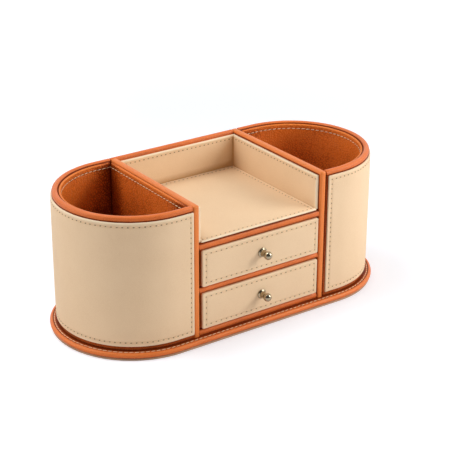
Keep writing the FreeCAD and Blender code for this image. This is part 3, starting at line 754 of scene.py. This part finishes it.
class ORGANIZER_OT_base(bpy.types.Operator):
    """Make the wrapped base with its rolled edge and the non-slip sheet under it"""
    bl_idname = "organizer.base"
    bl_label = "Base"

    def execute(self, context):
        thick = BASE_HIGH.z - BASE_LOW.z
        roll = thick / 2
        # (inward, up, painted light) in mm: the top, painted shade along the walls, the stitched row,
        # painted shade in the seam
        profile = [(60.0, 0.0, 0.0), (7.4, 0.0, -0.8), (6.2, 0.0, -1.1), (5.2, -0.05, -1.1),
                   (4.6, -0.12, -0.9), (4.1, -0.15, -0.3), (3.8, -0.20, 0.0), (3.5, -0.28, -0.1),
                   (3.2, -0.34, -0.3), (2.95, -0.48, -0.9), (2.75, -0.55, -1.0), (2.55, -0.40, -0.8),
                   (2.35, -0.14, -0.2)]
        profile = [(inward * MM, up * MM, tone) for inward, up, tone in profile]
        # the rolled edge: a painted highlight along its top and front, painted shade on its underside
        for step, tone in enumerate([0.3] * 2 + [0.55] * 3 + [0.2] * 3 + [-0.3] * 5):
            angle = math.pi * (0.5 - step / 12)
            profile.append((roll * (0.94 - 0.94 * math.cos(angle)), -roll + roll * math.sin(angle),
                            tone))
        profile.append((60 * MM, -thick, -0.3))
        loops = [stadium_loop(BASE_RADIUS - inward, BASE_HIGH.z + up) for inward, up, _ in profile]
        tones = [[tone] * len(loops[0]) for _, _, tone in profile]
        make_piece(loft(loops, tones), "wrapped_base", "organizer", "tan_leather", "base_plate",
                   crease=60.0)
        low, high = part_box("base_sheet")
        thick = high.z - low.z
        layers = [(0.25 * MM, 0.0), (0.0, 0.25 * MM), (0.0, thick - 0.2 * MM), (0.2 * MM, thick)]
        loops = [stadium_loop(high.y - inward, low.z + up) for inward, up in layers]
        make_piece(loft(loops), "non_slip_sheet", "organizer", "non_slip", "base_sheet")
        return {"FINISHED"}


def wall_outline(foot, hollow_tone=-0.9):
    """Section of a wall: rolled foot, a groove above the panel, and the rolled rim, with painted light
    and shade on it.
    """
    outline = rounded([(CORE_RADIUS, foot, FOOT_ROLL),
                       *[(*place, 0.1 * MM) for place in RIM_SEAM[:-1]],
                       (*RIM_SEAM[-1], 0.6 * MM), (RIM_RADIUS, RIM_TOP, RIM_ROLL),
                       (HOLLOW_RADIUS, RIM_TOP, RIM_ROLL), (HOLLOW_RADIUS, foot, 0)], 8)
    tones = []
    # a painted highlight on the rim's top; painted shade on the hollow side, at the foot and in the
    # groove under the rim
    for point in outline:
        if point.y > RIM_TOP - 0.9 * MM:
            tones.append(0.2)
        elif point.x < HOLLOW_RADIUS + 0.5 * MM:
            tones.append(hollow_tone)
        elif point.y < foot + 0.8 * MM:
            tones.append(-0.9)
        elif point.y < foot + FOOT_ROLL:
            tones.append(-0.6)
        elif PANEL_HIGH.z - 0.2 * MM < point.y < RIM_FOOT + 0.5 * MM:
            tones.append(-1.0)
        else:
            tones.append(0.0)
    return outline, tones


class ORGANIZER_OT_ends(bpy.types.Operator):
    """Make the two curved end walls with their rolled rims"""
    bl_idname = "organizer.ends"
    bl_label = "End walls"

    def execute(self, context):
        for side, word in ((1, "right"), (-1, "left")):
            outline, tones = wall_outline(WALL_LOW.z)
            shape = sweep(outline, end_path(side, WALL_LOW.x), tones, 1.0 * MM)
            make_piece(shape, word + "_end_leather", "organizer", "tan_leather", word + "_end_wall")
        return {"FINISHED"}


class ORGANIZER_OT_panels(bpy.types.Operator):
    """Make the stitched leather panels round the ends and on the back"""
    bl_idname = "organizer.panels"
    bl_label = "Outer panels"

    def execute(self, context):
        for pad in outer_pads():
            pad.build()
        return {"FINISHED"}


def liner_outline(side_in, side_out, low, high):
    """Section of a cup lining: rolled top, and a dip where its row of stitches runs."""
    way = 1 if side_out > side_in else -1
    row = high - LINER_ROW
    roll = 1.04 * MM
    outline = rounded([(side_out, low, 0), (side_out, high, roll), (side_in, high, roll)], 6)
    middle = (side_in + side_out) / 2
    # painted shade on the side behind the lining, and a painted highlight on its rolled top
    tones = []
    for point in outline:
        beside = (point.x - middle) * way > 0.35 * MM
        tones.append(-1.0 if beside else (0.9 if point.y > high - 1.0 * MM else 0.1))
    # (up from the row, dip, painted light) in mm, with painted shade growing toward the floor
    for up, dip, tone in ((1.3, -0.04, 0.2), (0.8, 0.0, 0.0), (0.4, 0.12, -0.3), (0.0, 0.2, -0.5),
                          (-0.4, 0.12, -0.3), (-0.8, 0.02, -0.1), (-1.6, 0.0, 0.1), (-16.0, 0.0, 0.1),
                          (-30.0, 0.0, -0.15), (-45.0, 0.0, -0.45), (-60.0, 0.0, -0.7)):
        outline.append(Vector((side_in + way * dip * MM, row + up * MM)))
        tones.append(tone)
    outline.append(Vector((side_in, low)))
    tones.append(-0.8)
    return outline, tones


class ORGANIZER_OT_cups(bpy.types.Operator):
    """Line the two cups: curved and flat linings, and floor pads"""
    bl_idname = "organizer.cups"
    bl_label = "Cup linings"

    def execute(self, context):
        outline, tones = liner_outline(LINER_RADIUS, HOLLOW_RADIUS, LINER_LOW.z, LINER_HIGH.z)
        flat_outline, flat_tones = liner_outline(FLAT_HIGH.x, FLAT_LOW.x, FLAT_LOW.z, FLAT_HIGH.z)
        # dark: painted shade in the cups' corners, stronger in the left cup
        for side, word, dark in ((1, "right", 0.7), (-1, "left", 1.6)):
            corners = [(side * LINER_LOW.x, LINER_RADIUS), (side * LINER_LOW.x, -LINER_RADIUS)]
            end = FLAT_HIGH.y - (FLAT_HIGH.x - FLAT_LOW.x)
            straight = [(Vector((0, y, 0)), Vector((side, 0, 0))) for y in spread(-end, end, 30)]
            for kind, section, stations, shades, reach in (
                    ("curved", outline, end_path(side, LINER_LOW.x), tones, 12 * MM),
                    ("flat", flat_outline, straight, flat_tones, 14 * MM)):
                shape = sweep(section, stations, shades, 0.9 * MM)
                darken_corners(shape, corners, reach, dark)
                name = word + ("_cup_lining" if kind == "curved" else "_cup_flat_lining")
                make_piece(shape, name, "organizer", "cup_leather", f"{word}_cup_{kind}_liner")
            self.floor_pad(side, word)
        return {"FINISHED"}

    def floor_pad(self, side, word):
        """A D-shaped pad with a rolled edge and a slightly swollen middle."""
        low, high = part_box(word + "_cup_floor_pad")
        start = min(abs(low.x), abs(high.x))
        # (inward, up) in mm
        layers = ((0.5, 0.0), (0.0, 0.4), (0.0, 1.0), (0.15, 1.35), (0.6, 1.62), (1.4, 1.72),
                  (3.0, 1.80), (6.0, 1.90), (10.0, 1.95))
        loops = [[origin + outward * (high.y - inward * MM) + UP * (low.z + up * MM)
                  for origin, outward in end_path(side, start + inward * MM, 24)]
                 for inward, up in layers]
        piece = make_piece(loft(loops), word + "_cup_floor_cloth", "organizer", "suede",
                           word + "_cup_floor_pad", crease=60.0)


class ORGANIZER_OT_middle(bpy.types.Operator):
    """Make the two partitions with their posts, the back wall and the boards across the middle"""
    bl_idname = "organizer.middle"
    bl_label = "Partitions and boards"

    def execute(self, context):
        self.partition("left_partition", 0.0, [], 0.0)
        self.partition("right_partition", RIM_ROLL, RIM_SEAM[::-1], 4.0)
        low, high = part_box("back_wall")
        outline, tones = wall_outline(low.z, -0.2)
        make_piece(self.across(outline, tones, low.x, high.x, 1, 1.0 * MM), "back_wall_leather",
                   "organizer", "tan_leather", "back_wall")
        for name, covered in (("bay_floor", 0.4), ("drawer_divider", 0.4), ("tray_shelf", 1.6)):
            low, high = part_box(name)
            nose = 0.6 * (high.z - low.z)
            outline = rounded([(-high.y, low.z, 0), (-low.y, low.z, 0.8 * MM),
                               (-low.y, high.z, nose), (-high.y, high.z, 0)], 10)
            # painted shade at the top, under the piece that covers it, and toward the underside
            tones = [max(min(0.15, (high.z - point.y - covered * MM) / (0.4 * MM),
                             0.35 * (point.y - low.z) / (1.6 * MM) - 0.35), DARKEST)
                     for point in outline]
            make_piece(self.across(outline, tones, low.x, high.x, -1, 0.2 * MM), name + "_wrap",
                       "organizer", "tan_leather", name, crease=50.0)
        return {"FINISHED"}

    def across(self, outline, tones, left, right, way, soften):
        """Sweep an outline from left to right; way is the side it faces along Y."""
        stations = [(Vector((x, 0, 0)), Vector((0, way, 0))) for x in spread(left, right, 12)]
        return sweep(outline, stations, tones, soften)

    def partition(self, name, back_round, back_steps, shaded):
        """A partition whose top and front edge are one roll, turned down at the front corner.

        back_steps are the (y, z) places its back edge steps in at; shaded is how much painted shade
        darkens the flank of the post toward the tray.
        """
        low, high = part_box(name)
        middle, half = (low.x + high.x) / 2, (high.x - low.x) / 2
        roll, full = half - 0.15 * MM, 0.72
        corner, dark = 1.3 * MM, 1.2 * MM
        section = []
        for angle in spread(0.0, math.pi / 2, 10):
            section.append((roll - half - roll * math.cos(angle) ** full,
                            roll - roll * math.sin(angle) ** full))
        section += [(-across, depth) for across, depth in reversed(section)]
        shape, tone = toned_shape()
        grid = []
        for across, depth in section:
            path = [(high.y - inward, min(high.z - down, high.z - depth))
                    for inward, down in quarter(back_round, 6)]
            top = spread(high.y - back_round, low.y + corner, 16)
            path += [(y, high.z - depth) for y in top[1:-1]]
            for turn in spread(0.0, math.pi / 2, 10):
                bend = max(corner - depth, 0.0)
                path.append((low.y + max(corner, depth) - bend * math.sin(turn),
                             high.z - max(corner, depth) + bend * math.cos(turn)))
            path.append((low.y + depth, low.z))
            grid.append([shape.verts.new((middle + across, y, z)) for y, z in path])
            # painted light: paler across the roll's front, darker toward its sides as painted shade
            shade = 0.9 - 2.0 * min(max((depth - dark) / dark, 0.0), 1.0)
            for vert in grid[-1]:
                flank = (middle - vert.co.x) / half - 0.55
                vert[tone] = shade
                if vert.co.z < high.z - 2 * MM and flank > 0:
                    vert[tone] = max(shade - shaded * flank, DARKEST)
        skin(shape, grid)
        edge = [*back_steps, (back_steps[-1][0] if back_steps else high.y, low.z)]
        sides = [[shape.verts.new((x, y, z)) for y, z in edge] for x in (low.x, high.x)]
        shape.faces.new(grid[0] + sides[0][::-1])
        shape.faces.new(grid[-1] + sides[1][::-1])
        shape.faces.new([row[0] for row in grid] + [sides[1][0], sides[0][0]])
        for place in range(len(edge) - 1):
            shape.faces.new((sides[0][place], sides[0][place + 1], sides[1][place + 1],
                             sides[1][place]))
        shape.faces.new([row[-1] for row in grid] + [sides[1][-1], sides[0][-1]])
        make_piece(shape, name + "_leather", "organizer", "tan_leather", name, crease=50.0)


class ORGANIZER_OT_tray(bpy.types.Operator):
    """Line the memo tray with stitched cream leather"""
    bl_idname = "organizer.tray"
    bl_label = "Memo tray"

    def execute(self, context):
        for pad in tray_pads():
            pad.build()
        return {"FINISHED"}


class ORGANIZER_OT_drawers(bpy.types.Operator):
    """Make the two drawers: padded faces, wrapped boxes and cloth linings"""
    bl_idname = "organizer.drawers"
    bl_label = "Drawers"

    def execute(self, context):
        for pad in drawer_pads():
            pad.build()
        for drawer in DRAWERS:
            for part, edges, radius in (
                    ("front_board", ("y- x-", "y- x+", "y- z-", "y- z+", "y+ z+"), 0.6),
                    ("left_side", ("x- z+", "x+ z+"), 1.1), ("right_side", ("x- z+", "x+ z+"), 1.1),
                    ("back", ("y- z+", "y+ z+"), 1.1), ("bottom", ("y- z-",), 0.2),
                    ("lining", ("x- z+", "x+ z+", "y- z+", "y+ z+"), 0.3)):
                slot = "suede" if part == "lining" else "tan_leather"
                board(f"{drawer}_{part}", edges, radius * MM, slot, drawer)
        return {"FINISHED"}


class ORGANIZER_OT_knobs(bpy.types.Operator):
    """Turn the two ball knobs and finish their screws"""
    bl_idname = "organizer.knobs"
    bl_label = "Knobs"

    def execute(self, context):
        for drawer in DRAWERS:
            low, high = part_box(drawer + "_knob")
            middle = (low.z + high.z) / 2
            disc = (high.x - low.x) / 2 + 0.25 * MM
            ball = 3.3 * MM
            neck = 2.6 * MM
            centre = high.y - low.y - ball + 0.6 * MM
            profile = [(disc - 0.1 * MM, 0.0), (disc, 0.12 * MM), (disc, 0.5 * MM)]
            for angle in spread(0.0, math.pi / 2, 6)[1:]:
                profile.append((disc - 0.7 * MM + 0.7 * MM * math.cos(angle),
                                0.5 * MM + 0.6 * MM * math.sin(angle)))
            profile += [(neck + 1.1 * MM, 1.18 * MM), (neck + 0.5 * MM, 1.32 * MM),
                        (neck + 0.15 * MM, 1.7 * MM), (neck, 2.4 * MM), (neck, 4.2 * MM)]
            start = math.asin((neck + 0.05 * MM) / ball)
            for angle in spread(start, math.pi, 18):
                profile.append((max(ball * math.sin(angle), 0.0), centre - ball * math.cos(angle)))
            turns = spread(0.0, 2 * math.pi, 40)[:-1]
            loops = [[Vector((radius * math.cos(turn), high.y - out,
                              middle + radius * math.sin(turn))) for turn in turns]
                     for radius, out in profile[:-1]]
            make_piece(loft(loops), drawer + "_turned_knob", drawer, "knob_metal",
                       drawer + "_knob", crease=50.0)
            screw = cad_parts[drawer + "_knob_screw"]
            screw.data.materials.clear()
            screw.data.materials.append(finish_of("screw_steel"))
        return {"FINISHED"}


def stitch_tree():
    """Geometry Nodes: a stitch and its needle hole at every pitch along the rows."""
    tree = bpy.data.node_groups.new("Stitch rows", "GeometryNodeTree")
    sockets = tree.interface
    for kind, names in (("Geometry", ("Rows",)), ("Material", ("Thread", "Hole")),
                        ("Float", ("Pitch", "Stitch length", "Thread width", "Hole radius"))):
        for name in names:
            sockets.new_socket(name, in_out="INPUT", socket_type="NodeSocket" + kind)
    sockets.new_socket("Stitches", in_out="OUTPUT", socket_type="NodeSocketGeometry")
    given = node(tree, "NodeGroupInput").outputs

    def scaled(name, share):
        return math_node(tree, "MULTIPLY", given[name], share)

    def vector(x=0.0, y=0.0, z=0.0):
        return node(tree, "ShaderNodeCombineXYZ", {"X": x, "Y": y, "Z": z})

    def attribute(name, kind):
        return node(tree, "GeometryNodeInputNamedAttribute", {"Name": name}, data_type=kind)

    def varied(low, high, seed):
        return node(tree, "FunctionNodeRandomValue", {0: low, 1: high, "Seed": seed},
                    data_type="FLOAT_VECTOR")

    thread = node(tree, "GeometryNodeMeshUVSphere", {"Segments": 7, "Rings": 6, "Radius": 1.0})
    thread = node(tree, "GeometryNodeTransform", {
        "Geometry": thread, "Rotation": (0.0, math.pi / 2, math.radians(6)),
        "Translation": vector(z=scaled("Thread width", 0.12)),
        "Scale": vector(scaled("Thread width", 0.42), scaled("Thread width", 0.5),
                        scaled("Stitch length", 0.5))})
    # a needle hole is a flat dark disc: painted shade where the hole would be
    hole = node(tree, "GeometryNodeMeshCylinder", {"Vertices": 8, "Radius": 1.0, "Depth": 1.0})
    hole = node(tree, "GeometryNodeTransform", {
        "Geometry": hole, "Translation": vector(scaled("Pitch", 0.5)),
        "Scale": vector(scaled("Hole radius", 1.35), given["Hole radius"],
                        scaled("Hole radius", 0.6))})
    hole = node(tree, "GeometryNodeStoreNamedAttribute",
                {"Geometry": hole, "Name": "needle_hole", "Value": True},
                data_type="BOOLEAN", domain="FACE")
    pair = node(tree, "GeometryNodeJoinGeometry")
    tree.links.new(thread.outputs[0], pair.inputs[0])
    tree.links.new(hole.outputs[0], pair.inputs[0])

    line = node(tree, "GeometryNodeMeshToCurve", {"Mesh": given["Rows"]})
    line = node(tree, "GeometryNodeResampleCurve", {"Curve": line, "Length": given["Pitch"]},
                mode="LENGTH")
    turn = node(tree, "FunctionNodeAxesToRotation",
                {0: attribute("outward", "FLOAT_VECTOR"), 1: node(tree, "GeometryNodeInputTangent")},
                primary_axis="Z", secondary_axis="X")
    sway = node(tree, "FunctionNodeEulerToRotation",
                {0: varied((0.0, 0.0, -0.05), (0.0, 0.0, 0.05), 11)})
    turn = node(tree, "FunctionNodeRotateRotation", {0: turn, 1: sway}, rotation_space="LOCAL")
    placed = node(tree, "GeometryNodeInstanceOnPoints",
                  {"Points": line, "Instance": pair, "Rotation": turn,
                   "Scale": varied((0.93, 0.9, 0.9), (1.05, 1.1, 1.1), 12)})
    solid = node(tree, "GeometryNodeRealizeInstances", {"Geometry": placed})
    sewn = node(tree, "GeometryNodeSetMaterial", {"Geometry": solid, "Material": given["Thread"]})
    sewn = node(tree, "GeometryNodeSetMaterial",
                {"Geometry": sewn, "Selection": attribute("needle_hole", "BOOLEAN"),
                 "Material": given["Hole"]})
    node(tree, "NodeGroupOutput", {0: sewn})
    return tree


def liner_rows():
    """Rows round the tops of the cup linings."""
    half = bpy.context.scene.organizer_sizes.pitch / 2
    z = LINER_HIGH.z - LINER_ROW
    radius = LINER_RADIUS + 0.12 * MM
    rows = []
    for side in (1, -1):
        rows.append([(origin + outward * radius + UP * z, -outward)
                     for origin, outward in end_path(side, LINER_LOW.x + half, 80)])
        rows.append([(Vector((side * (FLAT_HIGH.x - 0.12 * MM), y, z)), Vector((side, 0, 0)))
                     for y in spread(FLAT_LOW.y + half, FLAT_HIGH.y - half, 10)])
    return rows


def base_row():
    """Row round the top of the base, closed on itself."""
    loop = stadium_loop(BASE_RADIUS - 3.55 * MM, BASE_HIGH.z - 0.26 * MM, 90)
    return [(point, UP) for point in loop + loop[:1]]


class ORGANIZER_OT_stitches(bpy.types.Operator):
    """Sew every row: thread and needle holes, one piece for each moving part"""
    bl_idname = "organizer.stitches"
    bl_label = "Stitching"

    def execute(self, context):
        sizes = context.scene.organizer_sizes
        tree = stitch_tree()
        # longer and thicker stitches round the cups and the base, with small needle holes
        self.sew("organizer", "edge_stitches", liner_rows() + [base_row()], tree, sizes.pitch,
                 1.2 * sizes.stitch, 1.3 * sizes.thread, 0.3 * sizes.hole)
        rows = {}
        for pad in outer_pads() + tray_pads() + drawer_pads():
            rows.setdefault(pad.body, []).extend(pad.stitch_rows())
        for body, lines in rows.items():
            pitch = sizes.drawer_pitch if body in DRAWERS else sizes.pitch
            self.sew(body, body + "_stitches", lines, tree, pitch, sizes.stitch, sizes.thread,
                     sizes.hole)
        return {"FINISHED"}

    def sew(self, body, name, lines, tree, pitch, length, width, hole):
        """Sew along lines of (point, outward)."""
        points, outwards, edges = [], [], []
        for line in lines:
            edges += [(len(points) + step, len(points) + step + 1) for step in range(len(line) - 1)]
            points += [point for point, _ in line]
            outwards += [part for _, outward in line for part in outward]
        guide = bpy.data.meshes.new(name + "_rows")
        guide.from_pydata(points, edges, [])
        layer = guide.attributes.new("outward", "FLOAT_VECTOR", "POINT")
        layer.data.foreach_set("vector", outwards)
        row_object = new_object(name + "_rows", guide)
        modifier = row_object.modifiers.new("Stitches", "NODES")
        modifier.node_group = tree
        values = {"Pitch": pitch, "Stitch length": length, "Thread width": width,
                  "Hole radius": hole, "Thread": finish_of("thread"),
                  "Hole": finish_of("needle_hole")}
        for item in tree.interface.items_tree:
            if item.item_type == "SOCKET" and item.name in values:
                modifier[item.identifier] = values[item.name]
        depsgraph = bpy.context.evaluated_depsgraph_get()
        mesh = bpy.data.meshes.new_from_object(row_object.evaluated_get(depsgraph))
        if not mesh.polygons:
            raise RuntimeError(f"{name}: no stitches were made")
        row_object.modifiers.remove(modifier)
        bpy.data.objects.remove(row_object)
        mesh.name = name
        for face in mesh.polygons:
            face.use_smooth = True
        piece = new_object(name, mesh)
        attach(piece, body)


class ORGANIZER_OT_stage(bpy.types.Operator):
    """Set the pale floor, the softboxes and the camera"""
    bl_idname = "organizer.stage"
    bl_label = "Stage"

    def execute(self, context):
        scene, levels = context.scene, context.scene.organizer_stage
        scene.view_settings.view_transform = "Standard"
        scene.world = bpy.data.worlds.new("studio")
        self.light(emptied(scene.world), levels.sky)
        self.floor()
        # softboxes as (name, place, aim, size, power)
        for name, place, aim, size, power in (
                ("key", (0.64, -0.54, 0.50), (0.02, 0, 0.06), (0.50, 0.50), levels.key),
                ("fill", (-1.0, 0.36, 0.60), (0, 0, 0.06), (0.8, 0.7), levels.fill),
                ("top", (-0.35, 0.32, 1.12), (0, 0, 0.06), (0.6, 0.6), levels.top)):
            lamp = bpy.data.lights.new(name + "_softbox", "AREA")
            lamp.shape = "RECTANGLE"
            lamp.size, lamp.size_y = size
            lamp.energy = power
            softbox = new_object(lamp.name, lamp)
            softbox.location = place
            aim = Vector(aim) - softbox.location
            softbox.rotation_euler = aim.to_track_quat("-Z", "Y").to_euler()
        azimuth, elevation = math.radians(SHOT_TURN), math.radians(SHOT_RISE)
        back = Vector((math.sin(azimuth) * math.cos(elevation),
                       -math.cos(azimuth) * math.cos(elevation), math.sin(elevation)))
        lens = bpy.data.cameras.new("product_camera")
        lens.sensor_width = SENSOR
        lens.lens = SHOT_FOCAL / SHOT_WIDTH * SENSOR
        lens.shift_x = (SHOT_WIDTH / 2 - SHOT_CENTRE[0]) / SHOT_WIDTH
        lens.shift_y = (SHOT_CENTRE[1] - SHOT_WIDTH / 2) / SHOT_WIDTH
        lens.clip_end = 50.0
        scene.camera = new_object("product_camera", lens)
        scene.camera.location = Vector((0, 0, SHOT_AIM)) + back * SHOT_DISTANCE
        scene.camera.rotation_euler = (-back).to_track_quat("-Z", "Y").to_euler()
        return {"FINISHED"}

    def light(self, tree, strength):
        """White to the camera and to mirrors, dimmed in front; an even light for the rest."""
        ray = node(tree, "ShaderNodeLightPath").outputs
        seen = math_node(tree, "MAXIMUM", ray["Is Camera Ray"], ray["Is Glossy Ray"])
        seen = math_node(tree, "MAXIMUM", seen, ray["Is Transmission Ray"])
        even = node(tree, "ShaderNodeBackground", {"Color": (1, 1, 1, 1), "Strength": strength})
        way = node(tree, "ShaderNodeTexCoord").outputs["Generated"]
        front = vector_node(tree, "DOT_PRODUCT", way, (-0.47, -0.80, 0.37), "Value")
        front = mapped(tree, front, 0.15, 0.65, 1.0, 0.12)
        front = node(tree, "ShaderNodeMix", {0: ray["Is Glossy Ray"], 2: 1.0, 3: front})
        white = node(tree, "ShaderNodeBackground", {"Color": (1, 1, 1, 1), "Strength": front})
        mixed = node(tree, "ShaderNodeMixShader", {0: seen, 1: even, 2: white})
        node(tree, "ShaderNodeOutputWorld", {"Surface": mixed})

    def floor(self):
        """A pale floor whose glow hides its edge from the camera."""
        mesh = bpy.data.meshes.new("floor")
        mesh.from_pydata([(-6, -6, 0), (6, -6, 0), (6, 6, 0), (-6, 6, 0)], [], [(0, 1, 2, 3)])
        mesh.materials.append(bpy.data.materials.new("white_floor"))
        tree = emptied(mesh.materials[0])
        ray = node(tree, "ShaderNodeLightPath").outputs
        paper = node(tree, "ShaderNodeBsdfDiffuse", {"Color": (0.86, 0.86, 0.88, 1)})
        shadowed = node(tree, "ShaderNodeBsdfDiffuse", {"Color": (0.77, 0.79, 0.85, 1)})
        place = node(tree, "ShaderNodeTexCoord").outputs["Object"]
        away = mapped(tree, vector_node(tree, "LENGTH", place, output="Value"), 0.4, 1.2, 0.31, 1.0)
        # painted light on the floor: the glow grows to the left, where it washes out the key's shadow
        side = vector_node(tree, "DOT_PRODUCT", place, (-0.9, 0.4, 0.0), "Value")
        away = math_node(tree, "ADD", away, mapped(tree, side, -0.02, 0.12, 0.0, 0.10))
        glow = node(tree, "ShaderNodeEmission", {"Color": (1, 1, 1, 1), "Strength": away})
        seen = node(tree, "ShaderNodeAddShader", {0: shadowed, 1: glow})
        mixed = node(tree, "ShaderNodeMixShader", {0: ray["Is Camera Ray"], 1: paper, 2: seen})
        node(tree, "ShaderNodeOutputMaterial", {"Surface": mixed})
        floor = new_object("floor", mesh)


OPERATORS = (ORGANIZER_OT_base, ORGANIZER_OT_ends, ORGANIZER_OT_panels, ORGANIZER_OT_cups,
             ORGANIZER_OT_middle, ORGANIZER_OT_tray, ORGANIZER_OT_drawers, ORGANIZER_OT_knobs,
             ORGANIZER_OT_stitches, ORGANIZER_OT_stage)


class ORGANIZER_PT_sidebar(bpy.types.Panel):
    """Colours, sizes and pieces of the organizer"""
    bl_idname = "ORGANIZER_PT_sidebar"
    bl_label = "Desk Organizer"
    bl_space_type = "VIEW_3D"
    bl_region_type = "UI"
    bl_category = "Organizer"

    def draw(self, context):
        for title, group in (("Colours", context.scene.organizer_colours),
                             ("Sizes", context.scene.organizer_sizes),
                             ("Stage", context.scene.organizer_stage)):
            box = self.layout.box()
            box.label(text=title)
            for name in group.__annotations__:
                box.prop(group, name)
        column = self.layout.column(align=True)
        for operator in OPERATORS:
            column.operator(operator.bl_idname)


CLASSES = (OrganizerColours, OrganizerSizes, OrganizerStage, *OPERATORS, ORGANIZER_PT_sidebar)


def register():
    for item in CLASSES:
        bpy.utils.register_class(item)
    bpy.types.Scene.organizer_colours = bpy.props.PointerProperty(type=OrganizerColours)
    bpy.types.Scene.organizer_sizes = bpy.props.PointerProperty(type=OrganizerSizes)
    bpy.types.Scene.organizer_stage = bpy.props.PointerProperty(type=OrganizerStage)


def unregister():
    del bpy.types.Scene.organizer_stage
    del bpy.types.Scene.organizer_sizes
    del bpy.types.Scene.organizer_colours
    for item in reversed(CLASSES):
        bpy.utils.unregister_class(item)


def main():
    """Dress the organizer piece by piece."""
    register()
    for operator in OPERATORS:
        group, name = operator.bl_idname.split(".")
        getattr(getattr(bpy.ops, group), name)()
    bpy.context.view_layer.update()


if __name__ == "__main__":
    main()
